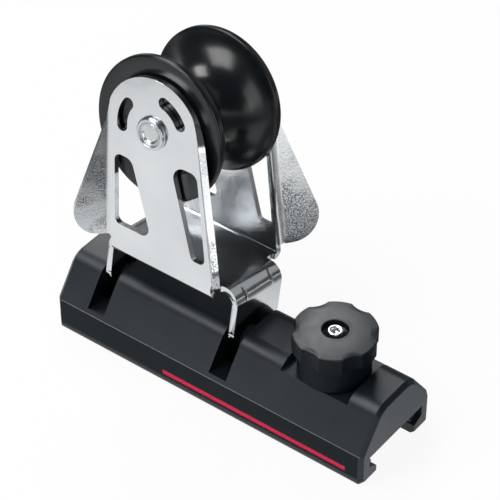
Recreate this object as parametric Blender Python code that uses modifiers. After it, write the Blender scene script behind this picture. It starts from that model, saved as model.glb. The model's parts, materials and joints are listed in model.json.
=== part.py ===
"""Genoa lead car: a track car with a tilting sheave frame and a spring stop pin.

World frame: X runs along the track, Y across it, Z up, z = 0 on the underside
of the car. The frame, the sheave and the stop pin hang on empties that lie on
their joint axes.
"""
import math

import bmesh
import bpy
from mathutils import Matrix, Vector

MM = 0.001
GAP = 0.3 * MM  # clearance between pieces that touch
BORE_STEPS = 40
SMALL_STEPS = 24
HEX = 6
MERGE = 0.00005 * MM
SHARP = math.radians(32.0)

# stations along the track: left end, left leg, right leg, knob, right end
LEFT_END = 19.0 * MM
LEG_SPAN = 59.0 * MM
KNOB_SPACING = 38.5 * MM
RIGHT_END = 28.5 * MM
BODY_LENGTH = LEFT_END + LEG_SPAN + KNOB_SPACING + RIGHT_END
FRAME_X = LEFT_END + LEG_SPAN / 2.0 - BODY_LENGTH / 2.0
KNOB_X = BODY_LENGTH / 2.0 - RIGHT_END

# car body
BODY_WIDTH = 44.0 * MM
SIDE_HEIGHT = 15.0 * MM
BODY_HEIGHT = 31.0 * MM
TOP_FLAT = 20.6 * MM
RIDGE_RADIUS = 3.4 * MM
CREASE_RADIUS = 0.7 * MM
FOOT_RADIUS = 1.5 * MM
END_BEVEL = 1.8 * MM
GROOVE_HEIGHT = 3.2 * MM
GROOVE_DEPTH = 0.35 * MM
FOOT_LEAST = 0.2 * MM
SLOT_EDGE = 0.3 * MM
SLOT_CORNER = 0.6 * MM
BODY_CORNER_STEPS = 5

# T-slot under the car and its liners
TRACK_GAP = 24.8 * MM
CAVITY_WIDTH = 34.0 * MM
ROOF_HEIGHT = 11.8 * MM
LIP_TIP_HEIGHT = 4.6 * MM
LIP_ROOT_HEIGHT = 7.2 * MM
LINER_THICKNESS = 0.9 * MM
LINER_REACH = 8.2 * MM
LINER_INSET = 0.5 * MM

# tilting frame: pivot and pose
PIVOT_HEIGHT = 20.5 * MM
TILT = math.radians(-10.9)
PIN_RADIUS = 3.0 * MM

# transverse slots for the frame's legs
SLOT_WIDTH = 8.0 * MM
SLOT_FLOOR = 16.6 * MM
SLOT_WELL_FLOOR = 13.6 * MM
SLOT_WELL_WIDTH = 23.0 * MM

# lengthwise hinge pin, its plug and the washers beside the legs
PIN_SEAT = 10.0 * MM
PIN_CHAMFER = 0.4 * MM
PLUG_RADIUS = 4.0 * MM
PLUG_DEPTH = 6.0 * MM
PLUG_KEY = 2.0 * MM
WASHER_RADIUS = 5.6 * MM

# folded sheet of the frame, measured from the pivot axis
SHEET = 2.4 * MM
FLOOR_TOP = 27.1 * MM
CHEEK_INNER = 19.6 * MM
CHEEK_BEND = 0.6 * MM
LEG_HALF_WIDTH = 14.0 * MM
LEG_BEND = 6.4 * MM
LEG_NECK = 9.0 * MM
LEG_CORNER = 0.5 * MM
LEG_BOSS_RADIUS = 6.0 * MM
LEG_STEPS = 5
FOLD_STEPS = 2
WING_STEPS = 3
CHEEK_BACK = -23.6 * MM
CHEEK_FRONT = 23.6 * MM
AXLE_RAKE = -10.2 * MM
AXLE_HEIGHT = 80.9 * MM
ARCH_RADIUS = 21.2 * MM
WING_START = 19.4 * MM
WING_BEND = 5.2 * MM
WING_ANGLE = math.radians(48.0)
LEFT_SPREAD = math.radians(20.3)
RIGHT_SPREAD = math.radians(18.8)
LEFT_FOOT = 31.8 * MM
RIGHT_FOOT = 30.9 * MM
LEFT_CORNER = 9.5 * MM
RIGHT_CORNER = 11.0 * MM
WING_FILLET = 3.0 * MM
WING_LEDGE = 0.6 * MM
RELIEF = 1.7 * MM
RELIEF_ROUND = 0.8 * MM
ARC_LEAN = math.radians(112.2)
ARC_OFFSET = math.radians(57.6)
ARC_HALF_SPAN = math.radians(20.5)
ARC_RADIUS = 14.0 * MM
ARC_HALF_WIDTH = 2.35 * MM
ARCH_STEPS = 24
ARC_STEPS = 6
CAP_STEPS = 6
BOSS_STEPS = 10
CORNER_STEPS = 4

# lower windows of a cheek: corner places along X and up from the pivot axis, corner radii
LEFT_WINDOW = (
    (-22.9 * MM, 37.4 * MM, 2.6 * MM), (-26.3 * MM, 66.2 * MM, 2.8 * MM),
    (-18.3 * MM, 66.2 * MM, 4.2 * MM), (-5.6 * MM, 37.4 * MM, 3.0 * MM))
RIGHT_WINDOW = (
    (13.2 * MM, 37.3 * MM, 2.2 * MM), (-1.2 * MM, 72.3 * MM, 4.6 * MM),
    (11.2 * MM, 72.3 * MM, 3.6 * MM), (19.6 * MM, 37.3 * MM, 2.2 * MM))

# sheave, bearing and axle
FLANGE_RADIUS = 28.3 * MM
THROAT_RADIUS = 15.5 * MM
SHEAVE_WIDTH = 37.2 * MM
RIM_WIDTH = 3.0 * MM
RIM_STEP = 0.3 * MM
RIM_CHAMFER = 0.3 * MM
GROOVE_STEPS = 14
GROOVE_FULLNESS = 0.94
HUB_RECESS = 5.0 * MM
SHEAVE_STEPS = 52
AXLE_RADIUS = 4.5 * MM
RACE_RADIUS = 7.0 * MM
ROLLER_RADIUS = 1.6 * MM
ROLLER_COUNT = 14
BALL_RADIUS = 1.5 * MM
BALL_COUNT = 16
BALL_PITCH = 12.0 * MM
BALL_SIDES = 6
THRUST_RADIUS = 15.0 * MM
BEAD_STEPS = 4
BEAD_WAIST = 0.5
HEAD_RADIUS = 6.5 * MM
HEAD_RING = 5.6 * MM
HEAD_RECESS = 4.0 * MM
HEAD_HEIGHT = 1.6 * MM
HEAD_STEP = 0.5 * MM
HEAD_DISH = 0.8 * MM
HEAD_EDGE = 0.4 * MM
BOLT_RADIUS = 2.5 * MM
BOLT_END = 8.0 * MM
BOLT_HEAD = 3.0 * MM
BOLT_KEY = 2.6 * MM
BOLT_KEY_DEPTH = 2.0 * MM
WASHER_THICKNESS = 1.2 * MM

# stop pin, its sleeve and spring, and the knob
POCKET_LENGTH = 30.0 * MM
POCKET_FLOOR = 27.4 * MM
PLUNGER_RADIUS = 4.0 * MM
STEM_RADIUS = 2.8 * MM
PLUNGER_TIP = 4.0 * MM
PLUNGER_SHOULDER = 14.8 * MM
SLEEVE_BORE = 4.4 * MM
SLEEVE_WALL = 1.6 * MM
SLEEVE_FLANGE = 9.0 * MM
SLEEVE_LID = 1.6 * MM
SPRING_WIRE = 0.4 * MM
SPRING_TURNS = 5.0
SPRING_STEPS = 12
KNOB_RADIUS = 16.1 * MM
KNOB_LOBES = 6
KNOB_TURN = math.radians(59.0)
SCALLOP_RADIUS = 9.0 * MM
SCALLOP_DEPTH = 1.35 * MM
SCALLOP_STEPS = 5
LOBE_STEPS = 4
KNOB_TOP = 47.0 * MM
KNOB_DOME = 0.7 * MM
KNOB_HEAD = 7.2 * MM
KNOB_EDGE = 0.5 * MM
KNOB_BREAK = 0.15 * MM
KNOB_WEB = 4.0 * MM
DOME_SHOULDER = 12.0 * MM
DOME_DROP = 0.25 * MM
SKIRT_RADIUS = 13.9 * MM
SCREW_RADIUS = 3.0 * MM
SCREW_HEAD = 2.2 * MM
SCREW_THREAD = 1.5 * MM
SCREW_LENGTH = 14.0 * MM
SCREW_KEY_DEPTH = 1.4 * MM
SCREW_RECESS = 4.9 * MM
SCREW_RECESS_DEPTH = 2.8 * MM


def clear_scene():
    """Remove every object of the file."""
    for item in list(bpy.data.objects):
        bpy.data.objects.remove(item, do_unlink=True)


def material(name, colour, roughness, metallic=0.0):
    """A Principled material of one colour."""
    made = bpy.data.materials.new(name)
    made.use_nodes = True
    shader = made.node_tree.nodes["Principled BSDF"]
    shader.inputs["Base Color"].default_value = (*colour, 1.0)
    shader.inputs["Roughness"].default_value = roughness
    shader.inputs["Metallic"].default_value = metallic
    made.diffuse_color = (*colour, 1.0)
    return made


def empty(name, location, rotation=(0.0, 0.0, 0.0), parent=None):
    """An empty that carries the pieces of one joint."""
    made = bpy.data.objects.new(name, None)
    bpy.context.scene.collection.objects.link(made)
    made.empty_display_size = 0.01
    made.location = location
    made.rotation_euler = rotation
    made.parent = parent
    return made


def node(name, mesh, finish, parent=None, location=(0.0, 0.0, 0.0), rotation=(0.0, 0.0, 0.0)):
    """One named sub-part with its own material."""
    made = bpy.data.objects.new(name, mesh)
    bpy.context.scene.collection.objects.link(made)
    mesh.materials.clear()
    mesh.materials.append(finish)
    made.parent = parent
    made.location = location
    made.rotation_euler = rotation
    return made


def mesh_from(name, build):
    """A mesh filled by a function that works on a bmesh."""
    mesh = bpy.data.meshes.new(name)
    work = bmesh.new()
    build(work)
    bmesh.ops.recalc_face_normals(work, faces=work.faces)
    work.to_mesh(mesh)
    work.free()
    return mesh


def shade_round(item, angle=SHARP):
    """Smooth shading that keeps edges sharper than the angle."""
    for face in item.data.polygons:
        face.use_smooth = True
    mesh = item.data
    work = bmesh.new()
    work.from_mesh(mesh)
    for edge in work.edges:
        edge.smooth = edge.calc_face_angle(0.0) < angle
    work.to_mesh(mesh)
    work.free()


def cutters():
    """The hidden collection that holds the boolean tools."""
    found = bpy.data.collections.get("cutters")
    if found is None:
        found = bpy.data.collections.new("cutters")
        bpy.context.scene.collection.children.link(found)
        found.hide_render = True
    return found


def cut(target, name, mesh, location=(0.0, 0.0, 0.0), rotation=(0.0, 0.0, 0.0), parent=None):
    """Cut a tool mesh out of a node with a Boolean modifier."""
    tool = bpy.data.objects.new(name, mesh)
    cutters().objects.link(tool)
    tool.hide_render = True
    tool.display_type = "WIRE"
    tool.location = location
    tool.rotation_euler = rotation
    tool.parent = parent
    step = target.modifiers.new(name, "BOOLEAN")
    step.operation = "DIFFERENCE"
    step.solver = "EXACT"
    step.object = tool
    return tool


def box_mesh(name, size):
    """A box centred on its origin."""
    def build(work):
        bmesh.ops.create_cube(work, size=1.0)
        bmesh.ops.scale(work, vec=Vector(size), verts=work.verts)
    return mesh_from(name, build)


def rod_mesh(name, radius, length, steps=BORE_STEPS):
    """A cylinder along Z, centred on its origin."""
    def build(work):
        bmesh.ops.create_cone(
            work, cap_ends=True, segments=steps, radius1=radius, radius2=radius, depth=length)
    return mesh_from(name, build)


def rounded(points, radii, steps=CORNER_STEPS):
    """Replace the corners of an open or closed chain by arcs of the given radii."""
    chain = []
    count = len(points)
    for index, radius in enumerate(radii):
        here = Vector(points[index])
        if radius <= 0.0:
            chain.append(here)
            continue
        before = (Vector(points[index - 1]) - here).normalized()
        after = (Vector(points[(index + 1) % count]) - here).normalized()
        half = before.angle(after) / 2.0
        reach = radius / math.tan(half)
        centre = here + (before + after).normalized() * radius / math.sin(half)
        start = here + before * reach - centre
        sweep = math.pi - 2.0 * half
        turn = -1.0 if before.cross(after) > 0.0 else 1.0
        for step in range(steps + 1):
            angle = turn * sweep * step / steps
            chain.append(centre + Matrix.Rotation(angle, 2) @ start)
    return chain


def lofted(rings, cap=True):
    """A bmesh builder that joins closed rings of equal length."""
    def build(work):
        rows = [[work.verts.new(point) for point in ring] for ring in rings]
        count = len(rows[0])
        for low, high in zip(rows, rows[1:]):
            for index in range(count):
                follow = (index + 1) % count
                work.faces.new((low[index], low[follow], high[follow], high[index]))
        if cap:
            work.faces.new(list(reversed(rows[0])))
            work.faces.new(rows[-1])
    return build


def turned(name, profile, finish, parent=None, location=(0.0, 0.0, 0.0),
           rotation=(0.0, 0.0, 0.0), steps=BORE_STEPS, closed=True):
    """A turned piece: a profile of (radius, height) points swept by a Screw modifier."""
    def build(work):
        made = [work.verts.new((radius, 0.0, height)) for radius, height in profile]
        pairs = list(zip(made, made[1:]))
        if closed:
            pairs.append((made[-1], made[0]))
        for first, second in pairs:
            work.edges.new((first, second))
    mesh = bpy.data.meshes.new(name)
    work = bmesh.new()
    build(work)
    work.to_mesh(mesh)
    work.free()
    item = node(name, mesh, finish, parent, location, rotation)
    screw = item.modifiers.new("turn", "SCREW")
    screw.axis = "Z"
    screw.angle = math.tau
    screw.screw_offset = 0.0
    screw.steps = steps
    screw.render_steps = steps
    screw.use_merge_vertices = True
    screw.merge_threshold = 0.00005
    screw.use_smooth_shade = True
    return item


def ring_profile(inner, outer, low, high, edge=0.0):
    """Closed profile of a plain ring, top to bottom on the outside, with chamfered outer edges."""
    if edge <= 0.0:
        return [(outer, high), (outer, low), (inner, low), (inner, high)]
    return [
        (outer - edge, high), (outer, high - edge), (outer, low + edge), (outer - edge, low),
        (inner, low), (inner, high)]


def body_half(inset):
    """Outline of the body's near-to-far half, from the lip tip up to the ridge, inset at an end."""
    half = BODY_WIDTH / 2.0 - inset
    slope = Vector((TOP_FLAT / 2.0 - BODY_WIDTH / 2.0, BODY_HEIGHT - SIDE_HEIGHT))
    lift = inset * math.tan(slope.angle(Vector((0.0, 1.0))) / 2.0)
    shrink = inset * math.tan(slope.angle(Vector((-1.0, 0.0))) / 2.0)
    corners = [
        (TRACK_GAP / 2.0, inset),
        (half, inset),
        (half, GROOVE_HEIGHT - GROOVE_DEPTH),
        (half - GROOVE_DEPTH, GROOVE_HEIGHT),
        (half, GROOVE_HEIGHT + GROOVE_DEPTH),
        (half, SIDE_HEIGHT - lift),
        (TOP_FLAT / 2.0 - shrink, BODY_HEIGHT - inset)]
    return corners


def body_ring(inset):
    """Closed outline of the body, T-slot included."""
    right = body_half(inset)
    slot = [
        (CAVITY_WIDTH / 2.0, ROOF_HEIGHT),
        (CAVITY_WIDTH / 2.0, LIP_ROOT_HEIGHT),
        (TRACK_GAP / 2.0, LIP_TIP_HEIGHT)]
    left = [(-y, z) for y, z in reversed(right)]
    points = right + left + [(-y, z) for y, z in reversed(slot)] + slot
    edge = max(FOOT_LEAST, FOOT_RADIUS - inset)
    outer = [0.0, edge, 0.0, 0.0, 0.0, CREASE_RADIUS, RIDGE_RADIUS]
    inner = [SLOT_CORNER, 0.0, SLOT_EDGE]
    radii = outer + list(reversed(outer)) + list(reversed(inner)) + inner
    return rounded(points, radii, BODY_CORNER_STEPS)


def leg_x(side):
    """World X of a leg's mid plane; side is -1 for the left leg, 1 for the right one."""
    return FRAME_X + side * LEG_SPAN / 2.0


def car_body(finish):
    """The extruded car with its T-slot, leg slots, knob pocket and bores."""
    ends = BODY_LENGTH / 2.0
    flat = ends - END_BEVEL
    stations = [(-ends, END_BEVEL), (-flat, 0.0), (flat, 0.0), (ends, END_BEVEL)]
    rings = [[(x, y, z) for y, z in body_ring(inset)] for x, inset in stations]
    body = node("car_body", mesh_from("car_body", lofted(rings)), finish)
    tall = 2.0 * BODY_HEIGHT
    for side, label in ((-1, "left"), (1, "right")):
        cut(body, f"{label}_slot", box_mesh("slot", (SLOT_WIDTH, 2.0 * BODY_WIDTH, tall)),
            (leg_x(side), 0.0, SLOT_FLOOR + tall / 2.0))
        cut(body, f"{label}_well", box_mesh("well", (SLOT_WIDTH, SLOT_WELL_WIDTH, tall)),
            (leg_x(side), 0.0, SLOT_WELL_FLOOR + tall / 2.0))
    cut(body, "knob_pocket", box_mesh("pocket", (POCKET_LENGTH, 2.0 * BODY_WIDTH, tall)),
        (KNOB_X, 0.0, POCKET_FLOOR + tall / 2.0))
    sleeve = SLEEVE_BORE + SLEEVE_WALL + GAP
    cut(body, "sleeve_bore", rod_mesh("bore", sleeve, tall, SMALL_STEPS), (KNOB_X, 0.0, 0.0))
    start = -BODY_LENGTH
    stop = leg_x(1) + SLOT_WIDTH / 2.0 + PIN_SEAT
    cut(body, "pivot_bore", rod_mesh("bore", PIN_RADIUS + GAP, stop - start, SMALL_STEPS),
        ((start + stop) / 2.0, 0.0, PIVOT_HEIGHT), (0.0, math.pi / 2.0, 0.0))
    plug_stop = -BODY_LENGTH / 2.0 + PLUG_DEPTH
    cut(body, "plug_bore", rod_mesh("bore", PLUG_RADIUS + GAP, plug_stop - start, SMALL_STEPS),
        ((start + plug_stop) / 2.0, 0.0, PIVOT_HEIGHT), (0.0, math.pi / 2.0, 0.0))
    return body


def slot_liner(name, side, finish):
    """A thin bent strip that lines the roof edge, the wall and the lip of the T-slot."""
    wall = CAVITY_WIDTH / 2.0 - GAP
    roof = ROOF_HEIGHT - GAP
    slant = math.atan2(LIP_ROOT_HEIGHT - LIP_TIP_HEIGHT, (CAVITY_WIDTH - TRACK_GAP) / 2.0)
    root = LIP_ROOT_HEIGHT - GAP * math.tan(slant) + GAP / math.cos(slant)
    tip_y = TRACK_GAP / 2.0 + GAP
    tip = root - (wall - tip_y) * math.tan(slant)
    thick = LINER_THICKNESS
    rise = thick / math.cos(slant)
    inner_root = root - thick * math.tan(slant) + rise
    outline = [
        (wall - LINER_REACH, roof), (wall - LINER_REACH, roof - thick), (wall - thick, roof - thick),
        (wall - thick, inner_root), (tip_y, tip + rise), (tip_y, tip), (wall, root), (wall, roof)]
    ends = BODY_LENGTH / 2.0 - END_BEVEL - LINER_INSET
    rings = [[(x, side * y, z) for y, z in outline] for x in (-ends, ends)]
    return node(name, mesh_from(name, lofted(rings)), finish)


def tangent_angle(centre, radius, point, turn):
    """Angle of the tangent point, on a circle, of the line through an outer point."""
    away = Vector(point) - Vector(centre)
    return math.atan2(away.y, away.x) + turn * math.acos(radius / away.length)


def on_circle(centre, radius, angle):
    """Point of a circle."""
    return Vector(centre) + radius * Vector((math.cos(angle), math.sin(angle)))


def arc(centre, radius, start, stop, steps):
    """Points of an arc, both ends included."""
    return [on_circle(centre, radius, start + (stop - start) * k / steps) for k in range(steps + 1)]


FOLD_START = CHEEK_INNER - CHEEK_BEND
FOLD_LENGTH = CHEEK_BEND * math.pi / 2.0
LEG_START = (LEG_SPAN + SHEET) / 2.0 - LEG_BEND
LEG_LENGTH = LEG_BEND * math.pi / 2.0


def cheek_v(height):
    """Place on the flat blank of a height on a cheek."""
    return FOLD_START + FOLD_LENGTH + height - FLOOR_TOP - CHEEK_BEND


def leg_u(height):
    """Place on the flat blank of a height on a leg."""
    return LEG_START + LEG_LENGTH + FLOOR_TOP - LEG_BEND - height


class WingLine:
    """Bend line between a cheek and one of its wings, on the flat blank."""

    def __init__(self, side):
        self.axle = Vector((AXLE_RAKE, cheek_v(AXLE_HEIGHT)))
        base_u = (CHEEK_FRONT if side > 0 else CHEEK_BACK) - side * WING_LEDGE
        base = Vector((base_u, FOLD_START + FOLD_LENGTH))
        angle = tangent_angle(self.axle, WING_START, base, side)
        self.spread = RIGHT_SPREAD if side > 0 else LEFT_SPREAD
        self.foot = cheek_v(RIGHT_FOOT if side > 0 else LEFT_FOOT)
        self.top = on_circle(self.axle, WING_START, angle)
        self.outward = (self.top - self.axle).normalized()
        self.down = (base - self.top).normalized()
        self.base = base

    def edge_angle(self):
        """Angle at which the wing's free edge leaves the arch."""
        facing = self.outward * math.cos(self.spread) - self.down * math.sin(self.spread)
        return math.atan2(facing.y, facing.x)

    def corners(self):
        """Free corner, foot and base corner of the wing, from the arch down."""
        start = on_circle(self.axle, ARCH_RADIUS, self.edge_angle())
        edge = self.down * math.cos(self.spread) + self.outward * math.sin(self.spread)
        foot = self.top + self.down * (self.foot - self.top.y) / self.down.y
        reach = (foot - start).dot(self.down) / edge.dot(self.down)
        ledge = self.outward * WING_LEDGE
        return [start + edge * reach, foot + ledge, self.base + ledge]


def leg_shoulder():
    """Height of a leg's shoulders, which rest on the slot floor in the modelled pose."""
    drop = PIVOT_HEIGHT - SLOT_FLOOR - GAP
    return (LEG_HALF_WIDTH * math.sin(abs(TILT)) - drop) / math.cos(TILT)


def half_outline():
    """Corner points and radii of the blank above its centre line, from right leg to left leg."""
    right, left = WingLine(1), WingLine(-1)
    low = leg_u(leg_shoulder())
    notch = LEG_START - RELIEF
    shelf = FOLD_START - RELIEF / 2.0
    leg = [(low, LEG_NECK), (low, LEG_HALF_WIDTH), (notch, LEG_HALF_WIDTH), (notch, shelf)]
    leg_radii = [0.0, LEG_CORNER, RELIEF_ROUND, RELIEF_ROUND / 2.0]
    start, stop = right.edge_angle(), left.edge_angle()
    if stop < start:
        stop += math.tau
    bow = arc(right.axle, ARCH_RADIUS, start, stop, ARCH_STEPS)
    points = leg + [(CHEEK_FRONT, shelf)] + list(reversed(right.corners())) + bow
    radii = leg_radii + [0.0, 0.0, WING_FILLET, RIGHT_CORNER] + [0.0] * len(bow)
    points += left.corners() + [(CHEEK_BACK, shelf)] + [(-u, v) for u, v in reversed(leg)]
    radii += [LEFT_CORNER, WING_FILLET, 0.0, 0.0] + list(reversed(leg_radii))
    return points, radii


def leg_bow(side):
    """Round lower end of a leg, about its pivot hole."""
    centre = Vector((side * leg_u(0.0), 0.0))
    corner = Vector((side * leg_u(leg_shoulder()), LEG_NECK))
    angle = tangent_angle(centre, LEG_BOSS_RADIUS, corner, -side)
    if side > 0:
        return arc(centre, LEG_BOSS_RADIUS, -angle, angle, BOSS_STEPS)
    return arc(centre, LEG_BOSS_RADIUS, angle, math.tau - angle, BOSS_STEPS)


def cheek_holes():
    """Holes of one cheek: axle hole, two arc slots and two lower windows."""
    axle = WingLine(1).axle
    holes = [arc(axle, AXLE_RADIUS + GAP, 0.0, math.tau, SMALL_STEPS)[:-1]]
    for side in (-1, 1):
        middle = ARC_LEAN + side * ARC_OFFSET
        start, stop = middle - ARC_HALF_SPAN, middle + ARC_HALF_SPAN
        outer = arc(axle, ARC_RADIUS + ARC_HALF_WIDTH, start, stop, ARC_STEPS)
        inner = arc(axle, ARC_RADIUS - ARC_HALF_WIDTH, stop, start, ARC_STEPS)
        end, begin = on_circle(axle, ARC_RADIUS, stop), on_circle(axle, ARC_RADIUS, start)
        last = arc(end, ARC_HALF_WIDTH, stop, stop + math.pi, CAP_STEPS)
        first = arc(begin, ARC_HALF_WIDTH, start + math.pi, start + math.tau, CAP_STEPS)
        holes.append(outer + last[1:-1] + inner + first[1:-1])
    for window in (LEFT_WINDOW, RIGHT_WINDOW):
        corners = [(x, cheek_v(z)) for x, z, radius in window]
        holes.append(rounded(corners, [radius for x, z, radius in window]))
    return holes


def flat_blank():
    """Filled 2D curve of the flat blank, as a mesh."""
    points, radii = half_outline()
    right, left = leg_bow(1), leg_bow(-1)
    lower = [(u, -v) for u, v in reversed(points)]
    outline = rounded(
        right + points + left + lower,
        [0.0] * len(right) + radii + [0.0] * len(left) + list(reversed(radii)))
    loops = [outline]
    for hole in cheek_holes():
        loops.append(hole)
        loops.append([Vector((p.x, -p.y)) for p in hole])
    for side in (-1, 1):
        centre = (side * leg_u(0.0), 0.0)
        loops.append(arc(centre, PIN_RADIUS + GAP, 0.0, math.tau, SMALL_STEPS)[:-1])
    curve = bpy.data.curves.new("blank", "CURVE")
    curve.dimensions = "2D"
    curve.fill_mode = "BOTH"
    for loop in loops:
        spline = curve.splines.new("POLY")
        spline.points.add(len(loop) - 1)
        for point, place in zip(spline.points, loop):
            point.co = (place.x, place.y, 0.0, 1.0)
        spline.use_cyclic_u = True
    holder = bpy.data.objects.new("blank", curve)
    bpy.context.scene.collection.objects.link(holder)
    mesh = bpy.data.meshes.new_from_object(holder)
    bpy.data.objects.remove(holder, do_unlink=True)
    bpy.data.curves.remove(curve)
    return mesh


def split(work, faces, point, normal):
    """Cut chosen faces of the blank along a straight line."""
    geometry = set(faces)
    for face in faces:
        geometry.update(face.edges)
        geometry.update(face.verts)
    bmesh.ops.bisect_plane(
        work, geom=list(geometry), dist=MERGE, plane_co=(point.x, point.y, 0.0),
        plane_no=(normal.x, normal.y, 0.0))


def bent(distance, radius, angle):
    """Run and rise of a point of the sheet beyond a bend's first edge."""
    if distance <= 0.0:
        return distance, 0.0
    turn = min(distance / radius, angle)
    straight = max(0.0, distance - radius * angle)
    run = radius * math.sin(turn) + straight * math.cos(turn)
    rise = radius * (1.0 - math.cos(turn)) + straight * math.sin(turn)
    return run, rise


def fold_blank(work):
    """Split the blank at its bends and fold wings, cheeks and legs."""
    lines = [WingLine(1), WingLine(-1)]
    for step in range(FOLD_STEPS + 1):
        for side in (-1, 1):
            place = side * (FOLD_START + FOLD_LENGTH * step / FOLD_STEPS)
            split(work, list(work.faces), Vector((0.0, place)), Vector((0.0, 1.0)))
    for step in range(LEG_STEPS + 1):
        for side in (-1, 1):
            place = side * (LEG_START + LEG_LENGTH * step / LEG_STEPS)
            inner = [f for f in work.faces if abs(f.calc_center_median().y) < FOLD_START]
            split(work, inner, Vector((place, 0.0)), Vector((1.0, 0.0)))
    root = FOLD_START + FOLD_LENGTH
    for step in range(WING_STEPS + 1):
        for line in lines:
            for side in (-1, 1):
                cheek = [f for f in work.faces if side * f.calc_center_median().y > root]
                place = line.top + line.outward * WING_BEND * WING_ANGLE * step / WING_STEPS
                split(work, cheek, Vector((place.x, side * place.y)),
                      Vector((line.outward.x, side * line.outward.y)))
    for vert in work.verts:
        u, v = vert.co.x, abs(vert.co.y)
        side = 1.0 if vert.co.y >= 0.0 else -1.0
        flare = 0.0
        if v > root:
            for line in lines:
                ahead = (Vector((u, v)) - line.top).dot(line.outward)
                if ahead > 0.0:
                    run, flare = bent(ahead, WING_BEND, WING_ANGLE)
                    shifted = Vector((u, v)) + line.outward * (run - ahead)
                    u, v = shifted.x, shifted.y
        if v > FOLD_START:
            across, rise = bent(v - FOLD_START, CHEEK_BEND, math.pi / 2.0)
            vert.co = (u, side * (FOLD_START + across + flare), FLOOR_TOP + rise)
        else:
            along, drop = bent(abs(u) - LEG_START, LEG_BEND, math.pi / 2.0)
            vert.co = (math.copysign(LEG_START + along, u), vert.co.y, FLOOR_TOP - drop)


def sheave_frame(finish, pivot):
    """The folded frame: one blank with floor, cheeks, flared wings and end legs."""
    mesh = flat_blank()
    work = bmesh.new()
    work.from_mesh(mesh)
    bmesh.ops.remove_doubles(work, verts=work.verts, dist=MERGE)
    for face in work.faces:
        if face.normal.z < 0.0:
            face.normal_flip()
    fold_blank(work)
    bmesh.ops.remove_doubles(work, verts=work.verts, dist=MERGE)
    work.to_mesh(mesh)
    work.free()
    mesh.name = "sheave_frame"
    frame = node("sheave_frame", mesh, finish, pivot)
    wall = frame.modifiers.new("sheet", "SOLIDIFY")
    wall.thickness = SHEET
    wall.offset = -1.0
    wall.use_even_offset = True
    wall.use_quality_normals = True
    return frame


def pivot_parts(steel, plastic, pivot):
    """Lengthwise hinge pin, its plug and the washers beside the legs."""
    start = -BODY_LENGTH / 2.0 + PLUG_DEPTH + GAP
    stop = leg_x(1) + SLOT_WIDTH / 2.0 + PIN_SEAT - GAP
    lying = (0.0, math.pi / 2.0, 0.0)
    length = stop - start
    tip = PIN_RADIUS - PIN_CHAMFER
    pin = [(0.0, length), (tip, length), (PIN_RADIUS, length - PIN_CHAMFER), (PIN_RADIUS, PIN_CHAMFER),
           (tip, 0.0), (0.0, 0.0)]
    turned("pivot_pin", pin, steel, None, (start, 0.0, PIVOT_HEIGHT), lying, SMALL_STEPS, False)
    grub = [(0.0, 0.0), (PLUG_RADIUS, 0.0), (PLUG_RADIUS, GAP - PLUG_DEPTH), (0.0, GAP - PLUG_DEPTH)]
    plug = turned("pivot_plug", grub, steel, None, (start - 2.0 * GAP, 0.0, PIVOT_HEIGHT), lying,
                  SMALL_STEPS, False)
    cut(plug, "plug_key", rod_mesh("key", PLUG_KEY, PLUG_DEPTH, HEX),
        (-BODY_LENGTH / 2.0, 0.0, PIVOT_HEIGHT), lying)
    room = (SLOT_WIDTH - SHEET) / 2.0
    profile = ring_profile(PIN_RADIUS + GAP, WASHER_RADIUS, GAP - room / 2.0, room / 2.0 - GAP)
    for side, label in ((-1, "left"), (1, "right")):
        for face, place in ((-1, "outer"), (1, "inner")):
            offset = -side * face * (room + SHEET) / 2.0
            turned(f"pivot_washer_{label}_{place}", profile, plastic, pivot,
                   (side * LEG_SPAN / 2.0 + offset, 0.0, 0.0), lying, SMALL_STEPS)


def sheave(finish, spin):
    """The hourglass sheave: near and far rims, concave face, bored hub with ball recesses."""
    half = SHEAVE_WIDTH / 2.0
    rim = half - RIM_WIDTH
    lip = FLANGE_RADIUS - RIM_STEP
    rise = FLANGE_RADIUS - RIM_STEP - THROAT_RADIUS
    face = []
    for step in range(GROOVE_STEPS + 1):
        place = 1.0 - 2.0 * step / GROOVE_STEPS
        depth = math.sqrt(max(0.0, 1.0 - GROOVE_FULLNESS * place * place))
        floor = math.sqrt(1.0 - GROOVE_FULLNESS)
        face.append((lip - rise * (depth - floor) / (1.0 - floor), rim * place))
    bore = RACE_RADIUS + 2.0 * ROLLER_RADIUS + 2.0 * GAP
    shelf = half - HUB_RECESS
    outer = [(FLANGE_RADIUS - RIM_CHAMFER, half), (FLANGE_RADIUS, half - RIM_CHAMFER),
             (FLANGE_RADIUS, rim + RIM_STEP)]
    profile = outer + face + [(r, -z) for r, z in reversed(outer)]
    recess = THRUST_RADIUS + GAP
    profile += [(recess, -half), (recess, -shelf), (bore, -shelf), (bore, shelf), (recess, shelf),
                (recess, half)]
    turned("sheave", profile, finish, spin, (0.0, 0.0, 0.0), (math.pi / 2.0, 0.0, 0.0), SHEAVE_STEPS)


def bead_ring(name, section, pitch, count, finish, parent, location):
    """A caged row of rolling pieces: a section swelling once for each of them around a circle."""
    rings = []
    stations = count * BEAD_STEPS
    for step in range(stations):
        angle = math.tau * step / stations
        swell = BEAD_WAIST + (1.0 - BEAD_WAIST) * abs(math.cos(angle * count / 2.0))
        ring = []
        for across, rise in section(swell):
            reach = pitch + swell * across
            ring.append((reach * math.cos(angle), reach * math.sin(angle), rise))
        rings.append(ring)
    node(name, mesh_from(name, joined_rings(rings)), finish, parent, location, (math.pi / 2.0, 0.0, 0.0))


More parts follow.
